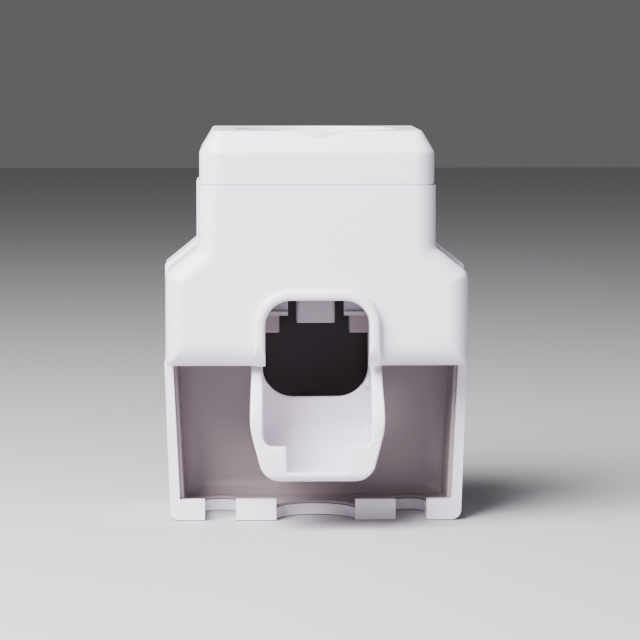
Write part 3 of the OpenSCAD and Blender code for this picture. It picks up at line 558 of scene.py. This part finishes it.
class Finish:
    """One material's nodes."""

    def __init__(self, name, constants):
        self.material = bpy.data.materials.new(name)
        self.material.use_nodes = True
        self.tree = self.material.node_tree
        self.surface = self.tree.nodes["Principled BSDF"]
        for socket, value in constants.items():
            self.surface.inputs[socket].default_value = value
        self.place = self.node("ShaderNodeTexCoord", output="Object")

    def node(self, kind, settings=None, inputs=None, output=0):
        """Adds a node and gives one of its outputs as a value."""
        return Value(self, add_node(self.tree, kind, settings, inputs).outputs[output])

    def set(self, socket, value):
        """Feeds one of the shader's own sockets."""
        feed(self.tree, self.surface.inputs[socket], value)

    def noise(self, scale, detail, roughness=0.5, stretch=None):
        """Soft noise between about NOISE_LOW and 1 - NOISE_LOW."""
        where = self.place
        if stretch:
            where = self.node(
                "ShaderNodeMapping", None, {"Vector": where, "Scale": stretch}, "Vector"
            )
        return self.node(
            "ShaderNodeTexNoise", None,
            {"Vector": where, "Scale": scale, "Detail": detail, "Roughness": roughness}, "Fac",
        )

    def cells(self, scale):
        """Distance from the middle of the nearest of many small cells."""
        return self.node(
            "ShaderNodeTexVoronoi", {"feature": "F1"},
            {"Vector": self.place, "Scale": scale}, "Distance",
        )

    def mix(self, factor, first, second):
        """Colour between two colours."""
        return self.node(
            "ShaderNodeMix", {"data_type": "RGBA"},
            {MIX_FACTOR: factor, MIX_FIRST: first, MIX_SECOND: second}, MIX_RESULT,
        )

    def bump(self, height, strength, distance):
        """Normal with the height's relief."""
        return self.node(
            "ShaderNodeBump", None,
            {"Height": height, "Strength": strength, "Distance": distance}, "Normal",
        )


def shade(tone, factor):
    """The colour made darker or lighter, with its alpha."""
    return tuple(min(1.0, channel * factor) for channel in tone) + (1.0,)


def moulded_plastic(tone, name, roughness, grain, constants):
    """Injection-moulded plastic: faint tone changes, slow waves, a fine grain and dust specks."""
    finish = Finish(name, constants)
    cloud = finish.noise(scale=28, detail=3)
    fine = finish.noise(scale=900, detail=3, roughness=0.6)
    cells = finish.cells(scale=420)
    dust = cells.math("LESS_THAN", cells, DUST_RADIUS)
    clouded, dusty = shade(tone, 0.975), shade(tone, 0.82)
    clean = finish.mix((cloud - NOISE_LOW) * NOISE_GAIN, clouded, shade(tone, 1.0))
    finish.set("Base Color", finish.mix(dust * DUST_TINT, clean, dusty))
    smoothest = roughness - 0.06  # the clouds and the grain add that much on average
    waves, grit, specks = 0.08, 0.05, 0.1
    finish.set("Roughness", cloud * waves + fine * grit + smoothest + dust * specks)
    relief = fine + cloud * CLOUD_SHARE
    finish.set("Normal", finish.bump(relief, strength=grain, distance=0.02 * MM))
    return finish.material


def foam_finish(tone, name):
    """Closed-cell foam with a fine pore pattern; the pores' pits are painted darker and their rims
    lighter.
    """
    finish = Finish(name, {"Roughness": 0.85})
    pores = finish.cells(scale=1400)
    cloud = finish.noise(scale=60, detail=3)
    # Painted shade in the pores' pits and painted light on their raised rims, following the bump.
    pit_shade, raised = shade(tone, 0.7), shade(tone, 1.1)
    finish.set("Base Color", finish.mix(pores + cloud * CLOUD_SHARE, pit_shade, raised))
    finish.set("Normal", finish.bump(pores, strength=0.5, distance=0.1 * MM))
    return finish.material


def steel_finish(tone, name):
    """Turned steel with fine streaks around."""
    finish = Finish(name, {"Metallic": 1.0})
    streaks = finish.noise(scale=260, detail=4, roughness=0.6, stretch=(1.0, 14.0, 14.0))
    cloud = finish.noise(scale=90, detail=2)
    dark, bright = shade(tone, 0.85), shade(tone, 1.1)
    finish.set("Base Color", finish.mix(cloud, dark, bright))
    smoothest, streaked = 0.18, 0.25
    finish.set("Roughness", streaks * streaked + smoothest)
    finish.set("Normal", finish.bump(streaks, strength=0.15, distance=0.02 * MM))
    return finish.material


# Kind of each slot's finish, its name, and for a plastic its roughness, its grain and the
# constants on the shader's own sockets.
GLOSS = {"Coat Weight": 0.1, "Coat Roughness": 0.15}
RECIPES = {
    "shell": (moulded_plastic, "white gloss plastic", 0.32, 0.05, GLOSS),
    # The pump's white plastic gets a grey tone: painted shade for the dark inside of the cover.
    "pump_plastic": (moulded_plastic, "grey satin plastic", 0.38, 0.08, {}),
    "liner": (moulded_plastic, "mauve-grey plastic", 0.36, 0.1, {}),
    # The wall plate's tone is partly the dark wall's colour and partly painted shade of the pump
    # bay.
    "bracket": (moulded_plastic, "dark plastic", 0.55, 0.25, {"Specular IOR Level": 0.25}),
    "silicone": (moulded_plastic, "milky silicone", 0.5, 0.1, {"Subsurface Weight": 0.25}),
    "seal": (moulded_plastic, "dark rubber", 0.62, 0.2, {}),
    "steel": (steel_finish, "turned steel"),
    "foam": (foam_finish, "adhesive foam"),
}
FINISHES = {}


def finish_for(slot):
    """The material of one of the record's slots, made once."""
    if slot not in FINISHES:
        make, *recipe = RECIPES[slot]
        tone = getattr(bpy.context.scene.dispenser_colours, slot)
        FINISHES[slot] = make(tone, *recipe)
    return FINISHES[slot]


# Geometry nodes


class Tree:
    """A geometry node tree with named inputs."""

    def __init__(self, name):
        self.group = bpy.data.node_groups.new(name, "GeometryNodeTree")
        for way in ("INPUT", "OUTPUT"):
            self.group.interface.new_socket(
                "Geometry", in_out=way, socket_type="NodeSocketGeometry"
            )
        self.start = self.group.nodes.new("NodeGroupInput")
        self.identifiers = {}

    def input(self, name, kind="NodeSocketFloat"):
        """Adds a named input and returns its socket inside the tree."""
        made = self.group.interface.new_socket(name, in_out="INPUT", socket_type=kind)
        self.identifiers[name] = made.identifier
        return self.start.outputs[name]

    def node(self, kind, settings=None, inputs=None, output=0):
        """Adds a node and gives one of its outputs."""
        return add_node(self.group, kind, settings, inputs).outputs[output]

    def end(self, shape):
        """Realizes the instances, sets the material and closes the tree."""
        material = self.input("Material", "NodeSocketMaterial")
        real = self.node("GeometryNodeRealizeInstances", None, {"Geometry": shape})
        done = self.node(
            "GeometryNodeSetMaterial", None, {"Geometry": real, "Material": material}
        )
        out = self.group.nodes.new("NodeGroupOutput")
        self.group.links.new(done, out.inputs["Geometry"])

    def apply(self, piece, **values):
        """Runs the tree on a piece with the given inputs and keeps the plain mesh."""
        modifier = piece.modifiers.new("shape", "NODES")
        modifier.node_group = self.group
        for name, value in values.items():
            modifier[self.identifiers[name.replace("_", " ")]] = value
        return shade_round(settle(piece))


def spring_tree():
    """Coil of round wire along +Z."""
    tree = Tree("coil spring")
    turns = tree.input("Turns")
    radius = tree.input("Coil Radius")
    height = tree.input("Height")
    wire = tree.input("Wire Radius")
    coil = tree.node(
        "GeometryNodeCurveSpiral", None,
        {"Resolution": COIL_STEPS, "Rotations": turns, "Start Radius": radius,
         "End Radius": radius, "Height": height},
    )
    circle = tree.node(
        "GeometryNodeCurvePrimitiveCircle", None, {"Resolution": WIRE_STEPS, "Radius": wire}
    )
    tree.end(tree.node(
        "GeometryNodeCurveToMesh", None,
        {"Curve": coil, "Profile Curve": circle, "Fill Caps": True},
    ))
    return tree


def screw_tree():
    """Pan-head screws with a cross recess, one at each point, pointing along +Z."""
    tree = Tree("screws")
    head_radius = tree.input("Head Radius")
    head_height = tree.input("Head Height")
    shank_radius = tree.input("Shank Radius")
    shank_length = tree.input("Shank Length")
    recess = tree.input("Recess Size", "NodeSocketVector")
    turn = tree.input("Turn", "NodeSocketRotation")

    def height_at(value):
        return tree.node("ShaderNodeCombineXYZ", None, {"Z": value})

    def rod(radius, depth, way):
        """Rod that starts at the seat and goes up or down."""
        made = tree.node(
            "GeometryNodeMeshCylinder", None,
            {"Vertices": SCREW_STEPS, "Radius": radius, "Depth": depth}, "Mesh",
        )
        middle = tree.node("ShaderNodeMath", {"operation": "MULTIPLY"}, {0: depth, 1: way / 2})
        return tree.node(
            "GeometryNodeTransform", None, {"Geometry": made, "Translation": height_at(middle)}
        )

    head = rod(head_radius, head_height, 1)
    shank = rod(shank_radius, shank_length, -1)
    arm = tree.node("GeometryNodeMeshCube", None, {"Size": recess}, "Mesh")
    cross = [
        tree.node(
            "GeometryNodeTransform", None,
            {"Geometry": arm, "Translation": height_at(head_height), "Rotation": (0, 0, angle)},
        )
        for angle in (0.0, math.pi / 2)
    ]
    cut = tree.node(
        "GeometryNodeMeshBoolean", {"operation": "DIFFERENCE"},
        {"Mesh 1": head, "Mesh 2": cross}, "Mesh",
    )
    screw = tree.node("GeometryNodeJoinGeometry", None, {"Geometry": [cut, shank]})
    tree.end(tree.node(
        "GeometryNodeInstanceOnPoints", None,
        {"Points": tree.start.outputs["Geometry"], "Instance": screw, "Rotation": turn},
    ))
    return tree


# Finished pieces


def dress(piece, body, slot, *nodes):
    """Gives a finished piece its slot's material and its body, and hides the CAD nodes it stands
    for.
    """
    piece.data.materials.clear()
    piece.data.materials.append(finish_for(slot))
    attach(piece, body)
    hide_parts(*nodes)
    return piece


def dress_node(node, slot):
    """Gives a CAD node that stays its finish."""
    for seat in frame["nodes"][node].material_slots:
        seat.material = finish_for(slot)


def give_way(piece, node, held):
    """Works out the share of a piece that would stay as the press plate comes in, from the depth
    where it is held, and gives the piece its own mesh; that share is not applied.
    """
    slide = next(joint for joint in frame["joints"] if joint["name"] == "press_slide")
    keep = 1 - slide["range_m"][1] / (node_box(node).far - held)
    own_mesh(piece)


# Pieces


def cover_outline(sizes, half_width, low, high, inset, sill):
    """Front outline of the cover, moved in on every side but its top."""
    bend = inset * math.tan(sizes.shoulder_angle / 2)
    wide = half_width - inset
    slim = sizes.neck_width / 2 - inset
    rise = (half_width - sizes.neck_width / 2) / math.tan(sizes.shoulder_angle)
    outer_z = sizes.shoulder_height - bend
    inner_z = outer_z + rise
    outer_r = max(sizes.least_radius, sizes.outer_radius - inset)
    inner_r = sizes.inner_radius + inset
    foot_r = sizes.foot_radius
    return rounded(
        [(-wide, low + sill), (wide, low + sill), (wide, outer_z), (slim, inner_z),
         (slim, high), (-slim, high), (-slim, inner_z), (-wide, outer_z)],
        [foot_r, foot_r, outer_r, inner_r, 0, 0, inner_r, outer_r],
    )


def cover_form(name, sizes, half_width, low, high, back, inset, front_radius, sill_radius):
    """Solid form of the cover from its back to its face, with the face's edges rounded."""
    rings = [front_ring(cover_outline(sizes, half_width, low, high, inset, 0), back)]
    flat = sizes.face_depth - inset - front_radius
    for inward, outward in quarter(front_radius):
        sill = inward * sill_radius / front_radius
        outline = cover_outline(sizes, half_width, low, high, inset + inward, sill)
        rings.append(front_ring(outline, flat + outward))
    return loft(name, rings)


def arch_outline(sizes, low, grow):
    """Outline of the arch, grown outwards."""
    half = sizes.arch_width / 2 + grow
    top = sizes.arch_height + grow
    radius = sizes.arch_radius + grow
    return rounded(
        [(-half, low), (half, low), (half, top), (-half, top)], [0, 0, radius, radius]
    )


def bead(sizes, low, back, front):
    """Bead around the arch with a rounded outer edge, down to the cover's lower edge."""
    edge = sizes.bead_edge
    rings = [front_ring(arch_outline(sizes, low, sizes.bead_width), back)]
    for inward, outward in quarter(edge, BEAD_STEPS):
        outline = arch_outline(sizes, low, sizes.bead_width - inward)
        rings.append(front_ring(outline, front - edge + outward))
    return loft("bead", rings)


def arch_tool(sizes, low, back, front):
    """Tool that cuts the arch and rounds the bead's inner edge."""
    edge = sizes.bead_edge
    rings = [front_ring(arch_outline(sizes, low, 0), back)]
    for inward, outward in quarter(edge, BEAD_STEPS):
        rings.append(front_ring(arch_outline(sizes, low, inward), front - edge + outward))
    rings.append(front_ring(arch_outline(sizes, low, edge), front + edge))
    return loft("arch", rings)


def sill_tool(sizes, half, low, back, front, high):
    """Block whose lower front edge is rounded like the cover's sill."""
    outline = rounded(
        [(back, low), (front, low), (front, high), (back, high)], [0, sizes.sill_radius, 0, 0]
    )
    return loft("sill", [[Vector((x, -p.x, p.y)) for p in outline] for x in (-half, half)])


def plan_ring(sizes, half, back, front, inset, height):
    """Plan outline of the collar at a height, moved in by inset at its sides and front."""
    back_r = max(sizes.least_back, sizes.back_radius - inset)
    front_r = max(sizes.least_front, sizes.front_radius - inset)
    outline = rounded(
        [(-half + inset, back), (half - inset, back),
         (half - inset, front - inset), (-half + inset, front - inset)],
        [back_r, back_r, front_r, front_r],
    )
    return [Vector((p.x, -p.y, height)) for p in outline]


def plan_block(name, sizes, box, inset, low, high, back_inset=None):
    """Upright block on the collar's plan outline, moved in by inset, at its back by back_inset."""
    back = box.near + (inset if back_inset is None else back_inset)
    return loft(name, [plan_ring(sizes, box.half, back, box.far, inset, z) for z in (low, high)])


def collar_form(name, sizes, box, inset, low, high):
    """Form of the collar with its sloped rim, moved in by inset."""
    bend = high - sizes.chamfer_height + inset * sizes.bend_rise
    lean = sizes.chamfer_inset
    foot = sizes.foot
    # The last point only gives the rim's upper bend its direction, and gets no ring.
    side = rounded(
        [(foot, low), (0, low + foot), (0, bend), (lean, high), (2 * lean, high)],
        [0, 0, 2 * sizes.edge, sizes.edge, 0],
    )[:-1]
    back = box.near + inset
    return loft(
        name, [plan_ring(sizes, box.half, back, box.far, inset + p.x, p.y) for p in side]
    )


def socket_profile(sizes, seat, low, high):
    """Funnel and straight socket with a rounded mouth, from below upwards."""
    mouth = [
        (sizes.socket_radius + inward, high - sizes.mouth + outward)
        for inward, outward in quarter(sizes.mouth)
    ]
    return [
        (sizes.funnel_radius, low - CLEAR),
        (sizes.funnel_radius, seat + sizes.funnel_start),
        (sizes.socket_radius, high - sizes.socket_depth),
        *mouth,
        (sizes.socket_radius + sizes.mouth, high + CLEAR),
    ]


def tray_outline(sizes, half, low, high, inset):
    """Outline of the liner's tub at the tray's walls, moved in at its sides and floor."""
    top = half - inset
    foot = top - sizes.taper
    radius = sizes.corner + inset
    return rounded(
        [(-foot, low + inset), (foot, low + inset), (top, high), (-top, high)],
        [radius, radius, 0, 0],
    )


def side_strips(sizes, box, high):
    """Strips that close the gaps between the liner's sides and the tray's walls."""
    corners = (
        (box.low + sizes.corner, sizes.seat - sizes.taper),
        (box.low + sizes.corner, -sizes.rim - sizes.taper),
        (high, -sizes.rim),
        (high, sizes.seat),
    )
    strips = []
    for side in (-1, 1):
        outline = [Vector((side * (box.half + shift), z)) for z, shift in corners]
        depths = (box.near + sizes.back, box.far)
        strips.append(loft("strip", [front_ring(outline, depth) for depth in depths]))
    return strips


def soft_tub(sizes, box, high):
    """Filling of the corners between the liner's back, sides and floor."""
    reach = box.near + sizes.back + sizes.hollow

    def ring(inset, depth, top=high + CLEAR):
        return front_ring(tray_outline(sizes, box.half, box.low, top, inset), depth)

    tub = loft("tub", [ring(0, depth, high) for depth in (box.near + sizes.skin, reach)])
    rings = [ring(sizes.rim, reach + CLEAR)]
    for inward, outward in quarter(sizes.hollow):
        rings.append(ring(sizes.rim + inward, reach - outward))
    rings.append(ring(sizes.rim + sizes.hollow, box.near - CLEAR))
    return carve(tub, loft("hollow", rings))


class DISPENSER_OT_cover(bpy.types.Operator):
    """Make the front cover with its shoulders, arch and bead"""

    bl_idname = "dispenser.cover"
    bl_label = "Front Cover"

    def execute(self, context):
        sizes = context.scene.dispenser_cover
        half, _, front, low, high = node_box("front_cover")
        seam = sizes.seam_depth
        wall = sizes.wall
        cover = cover_form("front_cover_shell", sizes, half, low, high, seam, 0,
                           sizes.front_radius, sizes.sill_radius)
        inner = cover_form("inside", sizes, half, low + wall, high + CLEAR, seam - CLEAR, wall,
                           sizes.front_radius - wall, sizes.sill_radius - wall - sizes.shelf_gap)
        carve(cover, inner)
        shelf = sizes.face_depth - sizes.sill_radius + sizes.shelf_gap
        carve(cover, block("open_bottom", (-half + wall, seam - CLEAR, low - CLEAR),
                           (half - wall, shelf, low + wall + CLEAR)))
        rim = bead(sizes, low, shelf, front)
        carve(rim, sill_tool(sizes, half, low, shelf - CLEAR, front, high), "INTERSECT")
        carve(cover, rim, "UNION")
        carve(cover, arch_tool(sizes, low - CLEAR, shelf - CLEAR, front))
        soften(cover, context.scene.dispenser_edges.cover)
        dress(cover, "cover", "shell", "front_cover")
        return {"FINISHED"}


class DISPENSER_OT_collar(bpy.types.Operator):
    """Make the chamfered collar with the tube socket"""

    bl_idname = "dispenser.collar"
    bl_label = "Tube Collar"

    def execute(self, context):
        sizes = context.scene.dispenser_collar
        box = node_box("tube_collar")
        low, high = box.low, box.high
        seat = low + sizes.spigot_height
        collar = collar_form("tube_collar_shell", sizes, box, 0, seat, high)
        band = plan_block("seam_band", sizes, box, sizes.seam_groove,
                          seat - sizes.seam_height, seat + CLEAR)
        carve(collar, band, "UNION")
        carve(collar, collar_form("inside", sizes, box, sizes.wall, seat - CLEAR,
                                  high - sizes.wall))
        axis = (0, sizes.tube_axis)
        boss = sizes.socket_radius + sizes.wall
        carve(collar, turned("boss", axis, [(boss, seat + sizes.boss_gap),
                                            (boss, high - sizes.mouth)]), "UNION")
        outer = sizes.spigot_gap
        inner = outer + sizes.spigot_wall
        root = seat + sizes.spigot_root
        spigot = plan_block("spigot", sizes, box, outer, low, root, sizes.spigot_back + outer)
        hole = plan_block("spigot_hole", sizes, box, inner, low - CLEAR, root + CLEAR,
                          sizes.spigot_back + inner)
        carve(collar, carve(spigot, hole), "UNION")
        carve(collar, turned("socket", axis, socket_profile(sizes, seat, low, high)))
        soften(collar, context.scene.dispenser_edges.collar)
        dress(collar, "collar", "shell", "tube_collar")
        return {"FINISHED"}


class DISPENSER_OT_lever(bpy.types.Operator):
    """Make the push lever with its scoop"""

    bl_idname = "dispenser.lever"
    bl_label = "Push Lever"

    def execute(self, context):
        mould = context.scene.dispenser_mould
        lever = melt(node_copy("push_lever"), mould.grid, mould.lever_rounds, mould.share)
        dress(lever, "lever", "shell", "push_lever")
        return {"FINISHED"}


class DISPENSER_OT_housing(bpy.types.Operator):
    """Make the rear housing with its tray"""

    bl_idname = "dispenser.housing"
    bl_label = "Rear Housing"

    def execute(self, context):
        edges = context.scene.dispenser_edges
        for node, width in {"back_housing": edges.housing, "back_panel": edges.inner}.items():
            dress(moulded_copy(node, width), "dispenser_body", "shell", node)
        return {"FINISHED"}


class DISPENSER_OT_liner(bpy.types.Operator):
    """Make the tray liner with its hook pockets"""

    bl_idname = "dispenser.liner"
    bl_label = "Tray Liner"

    def execute(self, context):
        mould = context.scene.dispenser_mould
        sizes = context.scene.dispenser_tray
        box = node_box("tray_liner")
        top = node_box("front_cover").low - sizes.cover_gap
        liner = join(node_copy("tray_liner"), soft_tub(sizes, box, top),
                     *side_strips(sizes, box, top))
        melt(liner, mould.grid, mould.liner_rounds, mould.share)
        dress(liner, "dispenser_body", "liner", "tray_liner")
        return {"FINISHED"}


class DISPENSER_OT_pump(bpy.types.Operator):
    """Make the moulded pieces of the pump and finish its soft ones"""

    bl_idname = "dispenser.pump"
    bl_label = "Pump"

    def execute(self, context):
        edge = context.scene.dispenser_edges.inner
        for node in ("pump_chamber", "diaphragm_frame", "nozzle", "inlet_fitting",
                     "sleeve_retainer", "press_plate"):
            body = "plunger" if node == "press_plate" else "dispenser_body"
            dress(moulded_copy(node, edge), body, "pump_plastic", node)
        for node in ("tube_sleeve", "inlet_valve", "outlet_valve"):
            dress_node(node, "silicone")
        dress_node("chamber_seal", "seal")
        dome = shade_round(merge(node_copy("pump_diaphragm")))
        dress(dome, "dispenser_body", "silicone", "pump_diaphragm")
        give_way(dome, "pump_diaphragm", node_box("diaphragm_frame").near)
        return {"FINISHED"}


class DISPENSER_OT_spring(bpy.types.Operator):
    """Wind the return spring inside the diaphragm"""

    bl_idname = "dispenser.spring"
    bl_label = "Return Spring"

    def execute(self, context):
        sizes = context.scene.dispenser_hardware
        _, near, far, low, high = node_box("return_spring")
        wire = sizes.wire_radius
        spring = points_mesh("return_spring_coil", [])
        spring_tree().apply(
            spring, Turns=sizes.turns, Coil_Radius=(high - low) / 2 - wire,
            Height=far - near - 2 * wire, Wire_Radius=wire, Material=finish_for("steel"),
        )
        centre = Vector((0, -(near + wire), (low + high) / 2))
        spring.data.transform(Matrix.Translation(centre) @ Matrix.Rotation(math.pi / 2, 4, "X"))
        dress(spring, "dispenser_body", "steel", "return_spring")
        give_way(spring, "return_spring", near)
        return {"FINISHED"}


class DISPENSER_OT_fasteners(bpy.types.Operator):
    """Place the screws and finish the axle with its clips"""

    bl_idname = "dispenser.fasteners"
    bl_label = "Fasteners"

    def execute(self, context):
        sizes = context.scene.dispenser_hardware
        radius = sizes.head_radius
        thick = sizes.head_height
        tree = screw_tree()
        turns = {"back": (-math.pi / 2, 0, 0), "front": (math.pi / 2, 0, 0), "up": (0, 0, 0)}
        rows = {"liner_screws": "back", "pump_screws": "back", "frame_screws": "front",
                "fitting_screws": "up"}
        for node, way in rows.items():
            half, near, far, low, high = node_box(node)
            across = (radius - half, half - radius)
            if way == "up":
                reach = high - low
                seat = high - thick
                spots = [(x, -d, seat) for x in across for d in (near + radius, far - radius)]
            else:
                reach = far - near
                seat = near + thick if way == "back" else far - thick
                spots = [(x, -seat, z) for x in across for z in (low + radius, high - radius)]
            screws = points_mesh(node + "_set", spots)
            tree.apply(
                screws, Head_Radius=radius, Head_Height=thick, Shank_Radius=sizes.shank_radius,
                Shank_Length=reach - thick, Recess_Size=tuple(sizes.recess), Turn=turns[way],
                Material=finish_for("steel"),
            )
            dress(screws, "dispenser_body", "steel", node)
        for node in ("hinge_axle", "axle_clips"):
            dress_node(node, "steel")
        return {"FINISHED"}


class DISPENSER_OT_wall_fixing(bpy.types.Operator):
    """Finish the wall plate, the adhesive pad and the lever's stops"""

    bl_idname = "dispenser.wall_fixing"
    bl_label = "Wall Fixing"

    def execute(self, context):
        plate = moulded_copy("wall_plate", context.scene.dispenser_edges.inner)
        dress(plate, "wall_bracket", "bracket", "wall_plate")
        dress_node("adhesive_pad", "foam")
        dress_node("lever_bumpers", "seal")
        return {"FINISHED"}


# Stage


def aim(name, data, stand, target):
    """Object with the data that stands at one point and faces another."""
    holder = bpy.data.objects.new(name, data)
    holder.location = stand
    holder.rotation_euler = (Vector(target) - Vector(stand)).to_track_quat("-Z", "Y").to_euler()
    bpy.context.scene.collection.objects.link(holder)
    return holder


def area_light(name, stand, target, size, power, tone):
    """Soft square light that faces a point."""
    lamp = bpy.data.lights.new(name, "AREA")
    lamp.size = size
    lamp.energy = power
    lamp.color = tone
    return aim(name, lamp, stand, target)


class DISPENSER_OT_stage(bpy.types.Operator):
    """Set the floor, the lights and the camera"""

    bl_idname = "dispenser.stage"
    bl_label = "Stage"

    def execute(self, context):
        scene = context.scene
        settings = scene.dispenser_stage
        half = settings.floor_size / 2
        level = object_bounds()[0].z - settings.floor_gap
        corners = [(-half, -half), (half, -half), (half, half), (-half, half)]
        mesh = bpy.data.meshes.new("floor")
        mesh.from_pydata([(x, y, level) for x, y in corners], [], [(0, 1, 2, 3)])
        floor = new_piece("floor", mesh)
        paint = Finish("pale floor", {"Roughness": 0.7})
        tone = settings.floor_colour
        cloud = paint.noise(scale=3, detail=2)
        paint.set("Base Color", paint.mix(cloud, shade(tone, 0.97), shade(tone, 1.0)))
        floor.data.materials.append(paint.material)
        floor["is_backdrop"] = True

        world = scene.world or bpy.data.worlds.new("studio")
        scene.world = world
        world.use_nodes = True
        sky = world.node_tree.nodes["Background"]
        sky.inputs["Color"].default_value = (*settings.sky_colour, 1)
        sky.inputs["Strength"].default_value = settings.sky
        target = settings.light_target
        area_light("key", settings.key_place, target, settings.key_size, settings.key_power,
                   settings.key_colour)
        area_light("fill", settings.fill_place, target, settings.fill_size, settings.fill_power,
                   settings.fill_colour)

        lens = bpy.data.cameras.new("camera")
        lens.lens = settings.lens
        lens.clip_start = settings.clip_start
        scene.camera = aim("camera", lens, settings.camera_place, settings.camera_target)
        return {"FINISHED"}


class DISPENSER_PT_sidebar(bpy.types.Panel):
    """Sizes, colours and pieces of the dispenser"""

    bl_idname = "DISPENSER_PT_sidebar"
    bl_label = "Toothpaste Dispenser"
    bl_space_type = "VIEW_3D"
    bl_region_type = "UI"
    bl_category = "Dispenser"

    def draw(self, context):
        for title, name, _ in GROUPS:
            column = self.layout.box().column()
            column.label(text=title)
            group = getattr(context.scene, name)
            for key in group.bl_rna.properties.keys():
                if key not in ("rna_type", "name"):
                    column.prop(group, key)
        for operator in OPERATORS:
            self.layout.operator(operator.bl_idname)


GROUPS = [
    ("Front cover", "dispenser_cover", CoverSizes),
    ("Tube collar", "dispenser_collar", CollarSizes),
    ("Tray", "dispenser_tray", TraySizes),
    ("Moulding", "dispenser_mould", MouldSizes),
    ("Edges", "dispenser_edges", EdgeSizes),
    ("Screws and spring", "dispenser_hardware", HardwareSizes),
    ("Colours", "dispenser_colours", FinishColours),
    ("Stage", "dispenser_stage", StageSettings),
]
OPERATORS = [
    DISPENSER_OT_cover,
    DISPENSER_OT_collar,
    DISPENSER_OT_lever,
    DISPENSER_OT_housing,
    DISPENSER_OT_liner,
    DISPENSER_OT_pump,
    DISPENSER_OT_spring,
    DISPENSER_OT_fasteners,
    DISPENSER_OT_wall_fixing,
    DISPENSER_OT_stage,
]
CLASSES = [group for _, _, group in GROUPS] + OPERATORS + [DISPENSER_PT_sidebar]


def register():
    for made in CLASSES:
        bpy.utils.register_class(made)
    for _, name, group in GROUPS:
        setattr(bpy.types.Scene, name, bpy.props.PointerProperty(type=group))


def unregister():
    for _, name, _ in GROUPS:
        delattr(bpy.types.Scene, name)
    for made in reversed(CLASSES):
        bpy.utils.unregister_class(made)


def main():
    """Makes every piece and the stage."""
    register()
    for operator in OPERATORS:
        family, name = operator.bl_idname.split(".")
        getattr(getattr(bpy.ops, family), name)()


if __name__ == "__main__":
    main()
